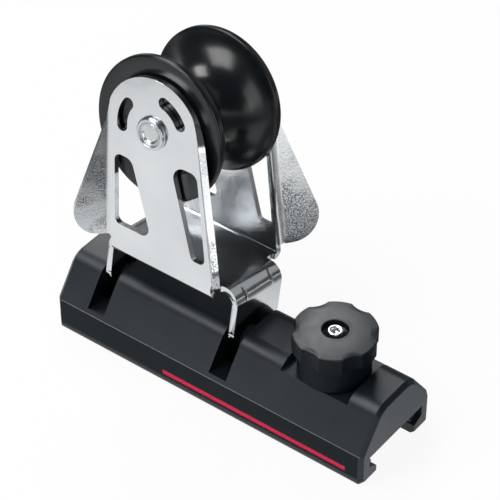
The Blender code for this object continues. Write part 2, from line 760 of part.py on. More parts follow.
def bearing_parts(steel, plastic, cover, axle):
    """Race, rollers, side balls and thrust washers between sheave and axle."""
    shelf = SHEAVE_WIDTH / 2.0 - HUB_RECESS
    lying = (math.pi / 2.0, 0.0, 0.0)
    turned("inner_race", ring_profile(AXLE_RADIUS + GAP, RACE_RADIUS, -shelf, shelf), steel, axle,
           (0.0, 0.0, 0.0), lying, SMALL_STEPS)

    def roller(swell):
        end = shelf - GAP
        corners = [(1.0, 1.0), (-1.0, 1.0), (-1.0, -1.0), (1.0, -1.0)]
        return [(across * ROLLER_RADIUS, rise * end) for across, rise in corners]

    def ball(swell):
        turns = [math.tau * step / BALL_SIDES for step in range(BALL_SIDES)]
        return [(BALL_RADIUS * math.cos(turn), swell * BALL_RADIUS * math.sin(turn)) for turn in turns]

    middle = RACE_RADIUS + ROLLER_RADIUS + GAP
    bead_ring("race_rollers", roller, middle, ROLLER_COUNT, plastic, axle, (0.0, 0.0, 0.0))
    for label, side in (("near", -1), ("far", 1)):
        bead_ring(f"side_balls_{label}", ball, BALL_PITCH, BALL_COUNT, plastic, axle,
                  (0.0, side * (shelf + GAP + BALL_RADIUS), 0.0))
        low = shelf + 2.0 * GAP + 2.0 * BALL_RADIUS
        profile = ring_profile(AXLE_RADIUS + GAP, THRUST_RADIUS, low, CHEEK_INNER - GAP)
        turned(f"thrust_washer_{label}", profile, cover, axle, (0.0, 0.0, 0.0),
               (-side * math.pi / 2.0, 0.0, 0.0))


def axle_parts(steel, axle):
    """Axle with its stepped, dished head, and the screw and washer at its far end."""
    seat = CHEEK_INNER + SHEET + GAP
    step = seat + HEAD_STEP
    tail = -CHEEK_INNER - SHEET
    top = seat + HEAD_HEIGHT
    near = [(0.0, top - HEAD_DISH), (HEAD_RECESS - HEAD_DISH, top - HEAD_DISH),
            (HEAD_RECESS, top - HEAD_DISH / 2.0), (HEAD_RECESS, top), (HEAD_RING - HEAD_EDGE, top),
            (HEAD_RING, top - HEAD_EDGE), (HEAD_RING, step), (HEAD_RADIUS, step), (HEAD_RADIUS, seat),
            (AXLE_RADIUS, seat), (AXLE_RADIUS, tail),
            (BOLT_RADIUS + GAP, tail), (BOLT_RADIUS + GAP, -BOLT_END), (0.0, -BOLT_END)]
    turned("axle", near, steel, axle, (0.0, 0.0, 0.0), (math.pi / 2.0, 0.0, 0.0), BORE_STEPS, False)
    washer_top = seat + WASHER_THICKNESS
    turned("axle_washer", ring_profile(BOLT_RADIUS + GAP, HEAD_RADIUS, seat, washer_top), steel, axle,
           (0.0, 0.0, 0.0), (-math.pi / 2.0, 0.0, 0.0), SMALL_STEPS)
    under = washer_top + GAP
    over = under + BOLT_HEAD
    bolt = [(0.0, over), (HEAD_RING - HEAD_EDGE, over), (HEAD_RING, over - HEAD_EDGE), (HEAD_RING, under),
            (BOLT_RADIUS, under), (BOLT_RADIUS, BOLT_END + GAP), (0.0, BOLT_END + GAP)]
    made = turned("axle_screw", bolt, steel, axle, (0.0, 0.0, 0.0), (-math.pi / 2.0, 0.0, 0.0),
                  SMALL_STEPS, False)
    cut(made, "axle_key", rod_mesh("key", BOLT_KEY, 2.0 * BOLT_KEY_DEPTH, HEX),
        (0.0, over, 0.0), (-math.pi / 2.0, 0.0, 0.0), axle)


def scallop_centre():
    """Distance from the knob's axis to the centres of its finger scallops."""
    return KNOB_RADIUS + SCALLOP_RADIUS - SCALLOP_DEPTH


def knob_angles():
    """Angles round the knob, with one at each end of every scallop."""
    far = scallop_centre()
    cosine = (KNOB_RADIUS ** 2 + far ** 2 - SCALLOP_RADIUS ** 2) / (2.0 * KNOB_RADIUS * far)
    half = math.acos(cosine)
    pitch = math.tau / KNOB_LOBES
    angles = []
    for lobe in range(KNOB_LOBES):
        middle = KNOB_TURN + (lobe + 0.5) * pitch
        angles += [middle + half * (2.0 * step / SCALLOP_STEPS - 1.0) for step in range(SCALLOP_STEPS)]
        land = (pitch - 2.0 * half) / LOBE_STEPS
        angles += [middle + half + land * step for step in range(LOBE_STEPS)]
    return angles


def scallop_dent(angle):
    """Depth of the finger scallops under the knob's round at an angle."""
    pitch = math.tau / KNOB_LOBES
    away = (angle - KNOB_TURN) % pitch - pitch / 2.0
    far = scallop_centre()
    inside = SCALLOP_RADIUS ** 2 - (far * math.sin(away)) ** 2
    if inside <= 0.0:
        return 0.0
    return max(0.0, KNOB_RADIUS - far * math.cos(away) + math.sqrt(inside))


def knob(finish, slider):
    """Round knob with six finger scallops, a domed top, a screw recess and a hollow skirt."""
    top = KNOB_TOP
    rim = top - KNOB_DOME
    under = rim - KNOB_HEAD
    lid = POCKET_FLOOR + SLEEVE_LID + GAP + KNOB_EDGE
    foot = POCKET_FLOOR + GAP
    room = SLEEVE_FLANGE + 2.0 * GAP
    recess = SCREW_RECESS
    seat = top - SCREW_RECESS_DEPTH
    edge = KNOB_EDGE
    hole = SCREW_THREAD + GAP
    bore = STEM_RADIUS + GAP
    web = seat - KNOB_WEB + GAP
    profile = [
        (hole, seat, 0.0), (recess, seat, 0.0), (recess, top - edge / 2.0, 0.0),
        (recess + edge / 2.0, top, 0.0),
        (DOME_SHOULDER, top - DOME_DROP, 0.0), (KNOB_RADIUS - edge, rim, 1.0),
        (KNOB_RADIUS - KNOB_BREAK, rim - KNOB_BREAK, 1.0), (KNOB_RADIUS, rim - edge, 1.0),
        (KNOB_RADIUS, under + edge, 1.0), (KNOB_RADIUS - edge, under, 1.0), (SKIRT_RADIUS, under, 0.0),
        (SKIRT_RADIUS, foot, 0.0), (room, foot, 0.0), (room, lid, 0.0), (bore, lid, 0.0), (bore, web, 0.0),
        (hole, web, 0.0)]
    rings = []
    for radius, height, weight in profile:
        ring = []
        for angle in knob_angles():
            reach = radius - weight * scallop_dent(angle)
            ring.append((reach * math.cos(angle), reach * math.sin(angle), height))
        rings.append(ring)
    return node("knob", mesh_from("knob", joined_rings(rings)), finish, slider)


def joined_rings(rings):
    """A bmesh builder for a tube-like solid whose last ring joins its first."""
    def build(work):
        rows = [[work.verts.new(point) for point in ring] for ring in rings]
        rows.append(rows[0])
        count = len(rows[0])
        for low, high in zip(rows, rows[1:]):
            for index in range(count):
                follow = (index + 1) % count
                work.faces.new((low[index], low[follow], high[follow], high[index]))
    return build


def stop_pin_parts(steel, brass, slider):
    """Plunger, sleeve, spring and knob screw on the stop pin's axis."""
    lid = POCKET_FLOOR + GAP + SLEEVE_LID
    foot = ROOF_HEIGHT + GAP
    ceiling = POCKET_FLOOR
    outer = SLEEVE_BORE + SLEEVE_WALL
    sleeve = [(STEM_RADIUS + GAP, lid), (SLEEVE_FLANGE, lid), (SLEEVE_FLANGE, POCKET_FLOOR + GAP),
              (outer, POCKET_FLOOR + GAP), (outer, foot), (SLEEVE_BORE, foot), (SLEEVE_BORE, ceiling),
              (STEM_RADIUS + GAP, ceiling)]
    turned("pin_sleeve", sleeve, brass, None, (KNOB_X, 0.0, 0.0), steps=SMALL_STEPS)
    shoulder = PLUNGER_SHOULDER
    seat = KNOB_TOP - SCREW_RECESS_DEPTH
    stem_top = seat - KNOB_WEB
    bore = SCREW_THREAD + GAP
    plunger = [(0.0, seat - SCREW_LENGTH - GAP), (bore, seat - SCREW_LENGTH - GAP), (bore, stem_top),
               (STEM_RADIUS, stem_top), (STEM_RADIUS, shoulder), (PLUNGER_RADIUS, shoulder),
               (PLUNGER_RADIUS, PLUNGER_TIP + PIN_CHAMFER), (PLUNGER_RADIUS - PIN_CHAMFER, PLUNGER_TIP),
               (0.0, PLUNGER_TIP)]
    turned("stop_pin", plunger, steel, slider, steps=SMALL_STEPS, closed=False)
    head = seat + GAP
    over = head + SCREW_HEAD
    screw = [(0.0, over), (SCREW_RADIUS - HEAD_EDGE, over), (SCREW_RADIUS, over - HEAD_EDGE),
             (SCREW_RADIUS, head), (SCREW_THREAD, head), (SCREW_THREAD, seat - SCREW_LENGTH),
             (0.0, seat - SCREW_LENGTH)]
    made = turned("knob_screw", screw, steel, slider, steps=SMALL_STEPS, closed=False)
    key = rod_mesh("key", SCREW_THREAD, 2.0 * SCREW_KEY_DEPTH, HEX)
    cut(made, "screw_key", key, (0.0, 0.0, over), parent=slider)
    low = shoulder + GAP + SPRING_WIRE
    high = ceiling - GAP - SPRING_WIRE
    radius = (STEM_RADIUS + SLEEVE_BORE) / 2.0
    curve = bpy.data.curves.new("pin_spring", "CURVE")
    curve.dimensions = "3D"
    curve.bevel_depth = SPRING_WIRE
    curve.bevel_resolution = 1
    curve.use_fill_caps = True
    spline = curve.splines.new("POLY")
    steps = int(SPRING_TURNS * SPRING_STEPS)
    spline.points.add(steps)
    for index, point in enumerate(spline.points):
        share = index / steps
        angle = math.tau * SPRING_TURNS * share
        point.co = (radius * math.cos(angle), radius * math.sin(angle), low + (high - low) * share, 1.0)
    node("pin_spring", curve, steel, None, (KNOB_X, 0.0, 0.0))


def build():
    """Model the whole car."""
    clear_scene()
    anodised = material("black_anodised", (0.030, 0.036, 0.044), 0.38)
    stainless = material("polished_stainless", (0.74, 0.76, 0.78), 0.16, 1.0)
    steel = material("turned_steel", (0.60, 0.62, 0.64), 0.28, 1.0)
    moulded = material("moulded_black", (0.020, 0.024, 0.028), 0.34)
    knob_plastic = material("knob_plastic", (0.075, 0.085, 0.095), 0.50)
    liner_plastic = material("liner_plastic", (0.10, 0.11, 0.12), 0.55)
    bearing = material("bearing_plastic", (0.55, 0.40, 0.12), 0.45)
    bronze = material("bronze", (0.50, 0.33, 0.14), 0.35, 1.0)

    body = car_body(anodised)
    slot_liner("liner_near", -1, liner_plastic)
    slot_liner("liner_far", 1, liner_plastic)

    pivot = empty("frame_pivot", (FRAME_X, 0.0, PIVOT_HEIGHT), (TILT, 0.0, 0.0))
    frame = sheave_frame(stainless, pivot)
    pivot_parts(steel, liner_plastic, pivot)
    axle = empty("axle_line", (AXLE_RAKE, 0.0, AXLE_HEIGHT), parent=pivot)
    sheave(moulded, axle)
    bearing_parts(steel, bearing, moulded, axle)
    axle_parts(steel, axle)

    slider = empty("stop_pin_line", (KNOB_X, 0.0, 0.0))
    grip = knob(knob_plastic, slider)
    stop_pin_parts(steel, bronze, slider)
    bpy.context.view_layer.update()
    for item in (body, frame, grip):
        shade_round(item)


build()
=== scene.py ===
"""Genoa lead car, dressed for its photograph.

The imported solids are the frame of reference. The body, the folded frame, the
sheave, the axle, the knob and their two screws are worked out again here as fine
surfaces. Every other solid keeps its shape and gets a material of nodes.
Lengths are in millimetres, and become metres where a mesh or a node takes them.
Only the lamps, the camera's near clip and the bright patch on the floor are laid
out in metres.
"""

import json
import math

import bmesh
import bpy
import numpy as np
from mathutils import Matrix, Vector


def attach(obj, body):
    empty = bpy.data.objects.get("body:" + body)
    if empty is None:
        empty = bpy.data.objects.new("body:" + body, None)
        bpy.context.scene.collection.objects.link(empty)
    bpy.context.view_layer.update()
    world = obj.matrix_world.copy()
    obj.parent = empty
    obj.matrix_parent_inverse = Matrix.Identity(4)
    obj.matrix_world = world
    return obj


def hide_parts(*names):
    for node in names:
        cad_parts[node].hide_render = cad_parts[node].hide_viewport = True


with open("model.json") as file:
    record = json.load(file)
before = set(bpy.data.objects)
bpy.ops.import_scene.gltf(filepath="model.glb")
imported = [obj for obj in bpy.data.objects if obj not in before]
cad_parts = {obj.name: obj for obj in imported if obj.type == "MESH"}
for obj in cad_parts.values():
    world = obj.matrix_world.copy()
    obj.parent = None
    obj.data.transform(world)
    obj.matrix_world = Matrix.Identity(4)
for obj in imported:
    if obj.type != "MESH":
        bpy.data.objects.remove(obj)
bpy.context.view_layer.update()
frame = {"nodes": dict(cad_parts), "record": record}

MM = 0.001
QUARTER = math.pi / 2.0

# how close points merge in a shell and in the blank, and how close to a cut a point lies on it
MERGE, SAME_POINT, ON_LINE = 0.002, 1e-4, 1e-5

# extruded body: SIDE is how high its upright sides go, TOP how wide its flat top is
LENGTH, WIDTH = 145.0, 44.0
SIDE, HEIGHT, TOP = 15.0, 31.0, 20.6
TRACK_GAP, CAVITY, ROOF = 24.8, 34.0, 11.8
LIP_TIP, LIP_ROOT = 4.6, 7.2
GROOVE_Z, GROOVE_DEPTH, GROOVE_HALF = 3.2, 0.4, 0.35
MOUTH_ROUND, FOOT_ROUND, FOOT_LEAST, GROOVE_ROUND = 0.25, 2.0, 0.8, 0.15
CREASE_ROUND, TOP_ROUND = 0.5, 8.0
ROOF_ROUND, ROOT_ROUND, TIP_ROUND = 0.4, 0.3, 0.6
END_BEVEL, END_TUCK, END_RUN = 1.8, 0.02, 0.1
BEVEL_EASE, BEVEL_CUT = 0.0525, 0.105
BODY_EDGE, BODY_STEPS = 0.3, 7

# milled places of the body, and how far the tools reach past it
FRAME_X, PIVOT_Z, LEG_SPAN = -24.0, 20.5, 59.0
TILT = math.radians(-10.9)
SLOT_WIDTH, SLOT_FLOOR, WELL_FLOOR, WELL_WIDTH = 8.0, 16.6, 13.6, 23.0
KNOB_X, POCKET, POCKET_FLOOR = 44.0, 30.0, 27.4
SLEEVE_HOLE, PIN_HOLE, PLUG_HOLE, PLUG_DEPTH, PIN_SEAT = 6.3, 3.3, 4.3, 6.0, 10.0
OVERRUN, TOOL_TOP, PIN_START, SLEEVE_CUT = 40.0, 60.0, -100.0, (-10.0, 50.0)
DRILL_STEPS = 64

# faces of the body that get the finish of the striped side, or the milled slots' walls and floors painted
# near black as shade
STRIPED_FROM, SHADED_SLOT_FROM = 3.5, 12.2
UPRIGHT, SIDE_SKIN, SLOT_SKIN = 0.99, 0.05, 0.01

# folded sheet of the frame, from the pivot axis
SHEET = 2.4
FLOOR, CHEEK, CHEEK_BEND = 27.1, 19.6, 0.6
LEG_HALF, LEG_BEND, LEG_NECK, LEG_BOSS = 14.0, 6.4, 9.0, 6.0
LEG_SHOULDER, LEG_ROUND, LEG_PLAY = 7.8, 4.0, 0.3
CHEEK_EDGE = 23.6
RAKE, AXLE_Z, AXLE_HOLE = -10.2, 80.9, 4.8
ARCH, WING_CIRCLE = 21.2, 19.4
WING_BEND, WING_ANGLE, WING_FILLET, WING_LEDGE = 5.2, math.radians(48.0), 3.0, 0.6
LEFT_SPREAD, LEFT_FOOT, LEFT_CORNER = math.radians(20.3), 31.8, 9.5
RIGHT_SPREAD, RIGHT_FOOT, RIGHT_CORNER = math.radians(18.8), 30.9, 11.0
RELIEF, RELIEF_ROUND = 1.7, 0.8
ARC_LEAN, ARC_OFFSET, ARC_SPAN = math.radians(112.2), math.radians(57.6), math.radians(20.5)
ARC_RADIUS, ARC_HALF = 14.0, 2.35
LEFT_WINDOW = ((-22.9, 37.4, 2.6), (-26.3, 66.2, 2.8), (-18.3, 66.2, 4.2), (-5.6, 37.4, 3.0))
RIGHT_WINDOW = ((13.2, 37.3, 2.2), (-1.2, 72.3, 4.6), (11.2, 72.3, 3.6), (19.6, 37.3, 2.2))
SHEET_EDGE = 0.42

# ribs pressed across the legs' bends
RIB, RIB_PLACE, RIB_WIDTH, RIB_REACH, RIB_RISE = 0.3, 8.0, 0.55, 2.0, 1.4
RIB_FROM, RIB_TO = math.radians(28.0), math.radians(80.0)

# points along the sheet's curves, and cuts along its bends
BOW_STEPS, BOSS_STEPS, ARC_STEPS, CAP_STEPS, SHEET_STEPS = 96, 24, 24, 14, 10
AXLE_HOLE_STEPS, PIN_HOLE_STEPS = 64, 40
CHEEK_CUTS, LEG_CUTS, RIB_CUTS, WING_CUTS = 6, 17, 11, 13

# sheave
FLANGE, THROAT, HALF, RIM = 28.3, 15.5, 18.6, 3.0
HOLLOW, RIM_ROUND, LIP_STEP, LIP_FALL, LIP_ROUND = 0.94, 0.9, 0.3, 0.25, 0.35
HUB_BORE, HUB_RECESS, HUB_SHELF = 10.8, 15.3, 13.6
GROOVE_STEPS, RIM_STEPS, SHEAVE_STEPS = 97, 8, 224

# axle; the rows of its head are radius, height over the seat and corner round, flange to dish
HEAD_RADIUS, HEAD_GAP, HEAD_BREAK, HEAD_RISE, HEAD_STEPS = 6.5, 0.3, 0.25, 0.15, 6
AXLE_HEAD = ((6.5, 0.5, 0.12), (6.2, 0.6, 0.1), (6.0, 1.6, 0.5), (4.9, 1.6, 0.35), (4.6, 0.8, 0.15),
             (4.2, 0.8, 0.15), (4.0, 1.25, 0.15), (3.6, 1.2, 0.15), (3.0, 0.7, 0.4), (0.0, 0.85, 0.0))
STEM, THREAD, THREAD_END, AXLE_STEPS = 4.5, 2.8, -8.0, 128

# knob and its finger scallops
KNOB_RADIUS, KNOB_TURN, KNOB_STEPS = 16.1, math.radians(59.0), 288
SCALLOP, SCALLOP_DEPTH, SCALLOPS = 9.0, 1.35, 6
KNOB_TOP, KNOB_RIM, KNOB_SEAT, KNOB_DEPTH = 47.0, 46.3, 44.2, 7.2
KNOB_EDGE, KNOB_FOOT, KNOB_EDGE_STEPS = 0.55, 0.5, 7
DOME_FROM, DOME_TO, DOME_POWER, DOME_STEPS = 5.6, 13.6, 2.6, 10
RECESS, RECESS_EASE, RECESS_MOUTH = 4.9, 0.2, ((4.9, 0.4), (5.0, 0.15), (5.3, 0.0))
SKIRT, SKIRT_BORE, SKIRT_GAP, SKIRT_LID, SKIRT_ROUND, SKIRT_EASE = 13.9, 9.6, 0.3, 2.4, 0.4, 0.3
KNOB_BORE, PLUNGER_HOLE, KNOB_PLATE = 1.8, 3.1, 3.7
# faces of the knob steeper than this take its painted side shade
SIDE_SHADE_LIMIT = 0.5

# socket screws and the washer under the axle's one
AXLE_SCREW = {"radius": 5.6, "height": 3.0, "key": 2.6, "depth": 2.0, "shank": 2.5, "length": 15.5}
KNOB_SCREW = {"radius": 3.0, "height": 2.2, "key": 1.7, "depth": 1.8, "shank": 1.5, "length": 14.3}
WASHER, KNOB_SCREW_GAP = 1.2, 0.3
KEY_TIP, KEY_SHARE, KEY_EASE, KEY_FLARE = 0.25, 0.999, 0.2, 0.22
HEAD_CHAMFER, HEAD_CORNER, SCREW_STEPS = 0.45, 0.12, 96

# marks on the metal, and light painted on the body: lighter ends and a highlight along its creases
STRIPE_Z, STRIPE_X, STRIPE_RED = (4.8, 6.7), (-19.8, 65.0), (0.64, 0.02, 0.07)
# the ends: duller where sawn, and painted a lighter grey for the light they catch
SAWN_AND_LIT_X, LIT_END_GREY, SAWN_DULL = (72.3, 80.0), (0.10, 0.112, 0.13), 0.14
# a highlight painted along the side creases: its place across and up, its grey and how metallic it is
CREASE_HIGHLIGHT_Y, CREASE_HIGHLIGHT_Z, CREASE_HIGHLIGHT_GREY, CREASE_HIGHLIGHT_METAL = (21.7, 23.0), (SIDE - 0.2, SIDE + 0.06), (0.30, 0.32, 0.34), 0.8
GRAIN_LEVEL, GRAIN_HALF, GRAIN_SLANT, GRAIN_WAVE = 59.5, 16.0, 0.34, 60.0
GRAIN_FROM, GRAIN_CORE, GRAIN_THIN = 0.9, 0.6, 0.1
PIT_GREY, PIT_EDGE, PIT_DULL = (0.09, 0.11, 0.13), (0.42, 0.54), 0.15
STEEL_TINTS, STEEL_GLOSS = ((0.64, 0.665, 0.685), (0.72, 0.74, 0.755)), (0.10, 0.16)
DRAWN_ALONG, PRESSED_UP = (0.03, 1.0, 1.0), (1.0, 1.0, 0.03)


# meshes
def filled(name, points, faces, smooth=True):
    """A mesh from an array of points in millimetres and a list of faces."""
    mesh = bpy.data.meshes.new(name)
    mesh.from_pydata((np.asarray(points, float) * MM).tolist(), [], faces)
    mesh.update()
    if smooth:
        mesh.shade_smooth()
    else:
        mesh.shade_flat()
    return mesh


def shell(name, points, faces):
    """A closed smooth mesh of a grid's points and faces: doubles merged, faces turned outwards."""
    mesh = filled(name, points.reshape(-1, 3), faces)
    work = bmesh.new()
    work.from_mesh(mesh)
    bmesh.ops.remove_doubles(work, verts=work.verts, dist=MERGE * MM)
    bmesh.ops.recalc_face_normals(work, faces=work.faces)
    work.to_mesh(mesh)
    work.free()
    return mesh


def grid_faces(rows, columns, wrap_rows, wrap_columns):
    """Quads of a grid of points, one array operation, wrapped round in either direction."""
    last_row = rows if wrap_rows else rows - 1
    last_column = columns if wrap_columns else columns - 1
    i, j = np.meshgrid(np.arange(last_row), np.arange(last_column), indexing="ij")
    down, right = (i + 1) % rows, (j + 1) % columns
    quads = [i * columns + j, i * columns + right, down * columns + right, down * columns + j]
    return np.stack(quads, -1).reshape(-1, 4).tolist()


def face_places(mesh):
    """Middles of a mesh's faces as three rows in millimetres, and their normals."""
    count = len(mesh.polygons)
    centre, normal = np.empty(count * 3), np.empty(count * 3)
    mesh.polygons.foreach_get("center", centre)
    mesh.polygons.foreach_get("normal", normal)
    return centre.reshape(-1, 3).T / MM, normal.reshape(-1, 3)


def painted(mesh, kinds):
    """Give each face the material of its kind, counted from 0."""
    mesh.polygons.foreach_set("material_index", kinds.astype(np.int32))
    mesh.update()


def placed(name, mesh, material, body, node):
    """An object at the origin that rides on a body and stands for a CAD node."""
    item = bpy.data.objects.new(name, mesh)
    bpy.context.scene.collection.objects.link(item)
    mesh.materials.clear()
    mesh.materials.append(material)
    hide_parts(node)
    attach(item, body)
    return item


def baked(item):
    """The item's mesh with its modifiers worked in."""
    bpy.context.view_layer.update()
    graph = bpy.context.evaluated_depsgraph_get()
    mesh = bpy.data.meshes.new_from_object(item.evaluated_get(graph))
    item.modifiers.clear()
    old = item.data
    item.data = mesh
    bpy.data.meshes.remove(old)
    return mesh


def levelled(item, weight=50):
    """Shade by normals weighted with the faces' sizes, so that flat faces look flat, and bake."""
    level = item.modifiers.new("level", "WEIGHTED_NORMAL")
    level.keep_sharp = True
    level.weight = weight
    return baked(item)


def broken_edges(item, width, segments, angle):
    """Small rounds on the edges sharper than an angle, then levelled shading."""
    bevel = item.modifiers.new("edge", "BEVEL")
    bevel.width = width * MM
    bevel.segments = segments
    bevel.limit_method = "ANGLE"
    bevel.angle_limit = math.radians(angle)
    bevel.use_clamp_overlap = True
    bevel.miter_outer = "MITER_ARC"
    return levelled(item, weight=80)


def soften(points, radii, steps):
    """A closed outline whose corners become arcs.

    Each arc turns about the point on its corner's bisector at radius / sin(half the angle).
    """
    points = np.asarray(points, float)
    chain = []
    for index, radius in enumerate(radii):
        here = points[index]
        if radius <= 0.0:
            chain.append(here[None])
            continue
        before = points[index - 1] - here
        after = points[(index + 1) % len(points)] - here
        before /= np.linalg.norm(before)
        after /= np.linalg.norm(after)
        half = math.acos(float(np.clip(before @ after, -1.0, 1.0))) / 2.0
        middle = (before + after) / np.linalg.norm(before + after)
        centre = here + middle * radius / math.sin(half)
        start = here + before * radius / math.tan(half) - centre
        turn = -1.0 if before[0] * after[1] - before[1] * after[0] > 0.0 else 1.0
        t = turn * (math.pi - 2.0 * half) * np.linspace(0.0, 1.0, steps + 1)
        chain.append(centre + np.stack([start[0] * np.cos(t) - start[1] * np.sin(t),
                                        start[0] * np.sin(t) + start[1] * np.cos(t)], -1))
    return np.concatenate(chain)


def turned(profile, steps, closed):
    """Surface of revolution about Z: x = r cos t, y = r sin t, z = h, for a profile of (r, h) rows."""
    profile = np.asarray(profile, float)
    t = np.linspace(0.0, math.tau, steps, endpoint=False)
    r, h = profile[:, :1], profile[:, 1:]
    grid = np.stack([r * np.cos(t), r * np.sin(t), h + 0.0 * t], -1)
    return grid, grid_faces(len(profile), steps, closed, True)


def leaned(points):
    """Frame places (along, across, up from the pivot) turned by the tilt about X, then shifted."""
    x, y, z = points[..., 0], points[..., 1], points[..., 2]
    return np.stack([x + FRAME_X, y * math.cos(TILT) - z * math.sin(TILT),
                     y * math.sin(TILT) + z * math.cos(TILT) + PIVOT_Z], -1)


def on_axle(points, side):
    """Places turned about Z laid along the axle, their top towards the near (-1) or far (1) side."""
    x, y, z = points[..., 0], points[..., 1], points[..., 2]
    return leaned(np.stack([x + RAKE, side * z, AXLE_Z - side * y], -1))


# body
def body_outline(inset):
    """Cross-section of the extrusion with its T-slot, pulled in by an inset on its outer faces.

    A sloping corner moves along its face by the inset times the tangent of half the corner's turn.
    """
    half, flat = WIDTH / 2.0 - inset, TOP / 2.0
    rise = math.atan2(HEIGHT - SIDE, (WIDTH - TOP) / 2.0)
    lift = inset * math.tan((QUARTER - rise) / 2.0)
    shrink = inset * math.tan(rise / 2.0)
    groove = [(half, GROOVE_Z - GROOVE_HALF), (half - GROOVE_DEPTH, GROOVE_Z), (half, GROOVE_Z + GROOVE_HALF)]
    right = [(TRACK_GAP / 2.0, inset), (half, inset)] + groove
    right += [(half, SIDE - lift), (flat - shrink, HEIGHT - inset)]
    slot = [(CAVITY / 2.0, ROOF), (CAVITY / 2.0, LIP_ROOT), (TRACK_GAP / 2.0, LIP_TIP)]
    points = right + [(-y, z) for y, z in reversed(right)] + [(-y, z) for y, z in reversed(slot)] + slot
    outer = [MOUTH_ROUND, max(FOOT_LEAST, FOOT_ROUND - inset)] + [GROOVE_ROUND] * len(groove)
    outer += [CREASE_ROUND, TOP_ROUND]
    inner = [ROOF_ROUND, ROOT_ROUND, TIP_ROUND]
    return soften(points, outer + outer[::-1] + inner[::-1] + inner, BODY_STEPS)


def body_mesh():
    """The outline carried along X, pulled in at each end by a bevel with eased corners, and capped."""
    ends = LENGTH / 2.0
    insets = np.array([END_BEVEL + END_TUCK, END_BEVEL - BEVEL_CUT, BEVEL_EASE, 0.0])
    places = np.array([0.0, BEVEL_EASE, END_BEVEL - BEVEL_CUT, END_BEVEL + END_RUN])
    xs = np.concatenate([places - ends, (ends - places)[::-1]])
    outlines = [body_outline(inset) for inset in np.concatenate([insets, insets[::-1]])]
    rings = [np.column_stack([np.full(len(outline), x), outline]) for x, outline in zip(xs, outlines)]
    count = len(rings[0])
    last = count * (len(rings) - 1)
    faces = grid_faces(len(rings), count, False, True)
    faces += [list(range(count)), list(range(last, last + count))]
    return shell("car_body_fine", np.concatenate(rings), faces)


def prism(name, low, high):
    """A rectangular milling tool between two corners."""
    low, high = np.asarray(low, float), np.asarray(high, float)
    base = [[0, 0], [1, 0], [1, 1], [0, 1]]
    pick = np.array([corner + [level] for level in (0, 1) for corner in base])
    faces = [[3, 2, 1, 0], [4, 5, 6, 7], [0, 1, 5, 4], [1, 2, 6, 5], [2, 3, 7, 6], [3, 0, 4, 7]]
    return filled(name, low + pick * (high - low), faces, False)


def drill(name, radius, axis, place, low, high):
    """A round milling tool along X or Z through a place, from low to high."""
    grid, faces = turned([(radius, low), (radius, high)], DRILL_STEPS, False)
    faces += [list(range(DRILL_STEPS)), list(range(DRILL_STEPS, 2 * DRILL_STEPS))]
    points = grid.reshape(-1, 3)
    if axis == "X":
        points = points[:, [2, 1, 0]]
    return shell(name, points + np.asarray(place, float), faces)


def milled(item, tools):
    """Take each tool mesh out of the item with an exact Boolean, then bake."""
    holders = []
    for tool in tools:
        holder = bpy.data.objects.new(tool.name, tool)
        bpy.context.scene.collection.objects.link(holder)
        step = item.modifiers.new(tool.name, "BOOLEAN")
        step.operation = "DIFFERENCE"
        step.solver = "EXACT"
        step.object = holder
        holders.append(holder)
    baked(item)
    for holder in holders:
        mesh = holder.data
        bpy.data.objects.remove(holder, do_unlink=True)
        bpy.data.meshes.remove(mesh)


# folded frame
FOLD = CHEEK - CHEEK_BEND
ROOT = FOLD + CHEEK_BEND * QUARTER
LEG_START = (LEG_SPAN + SHEET) / 2.0 - LEG_BEND
LEG_END = LEG_START + LEG_BEND * QUARTER


def cheek_v(height):
    """Place on the flat blank of a height on a cheek."""
    return ROOT + height - FLOOR - CHEEK_BEND


def leg_u(height):
    """Place on the flat blank of a height on a leg."""
    return LEG_END + FLOOR - LEG_BEND - height


def circle(centre, radius, start, stop, steps):
    """Arc points: centre + radius (cos t, sin t)."""
    t = np.linspace(start, stop, steps + 1)
    return np.asarray(centre, float) + radius * np.stack([np.cos(t), np.sin(t)], -1)


def tangent(centre, radius, point, turn):
    """Angle on the circle where the line from an outer point touches it: acos(radius / distance) off it."""
    away = np.asarray(point, float) - np.asarray(centre, float)
    return math.atan2(away[1], away[0]) + turn * math.acos(radius / np.linalg.norm(away))


AXLE = np.array([RAKE, cheek_v(AXLE_Z)])


class Wing:
    """Bend line and free corners of a wing on the flat blank, right (1) or left (-1).

    The bend line runs from the cheek's root to where it touches the wing circle round the axle. The free
    edge leaves the arch at a spread from that line and ends at the wing's foot.
    """

    def __init__(self, side):
        base = np.array([side * (CHEEK_EDGE - WING_LEDGE), ROOT])
        angle = tangent(AXLE, WING_CIRCLE, base, side)
        self.out = np.array([math.cos(angle), math.sin(angle)])
        self.top = AXLE + WING_CIRCLE * self.out
        self.down = (base - self.top) / np.linalg.norm(base - self.top)
        spread, low = (RIGHT_SPREAD, RIGHT_FOOT) if side > 0 else (LEFT_SPREAD, LEFT_FOOT)
        facing = self.out * math.cos(spread) - self.down * math.sin(spread)
        self.edge_angle = math.atan2(facing[1], facing[0])
        start = AXLE + ARCH * facing
        edge = self.down * math.cos(spread) + self.out * math.sin(spread)
        foot = self.top + self.down * (cheek_v(low) - self.top[1]) / self.down[1]
        reach = ((foot - start) @ self.down) / (edge @ self.down)
        self.corners = [start + edge * reach, foot + self.out * WING_LEDGE, base + self.out * WING_LEDGE]


WINGS = (Wing(1), Wing(-1))


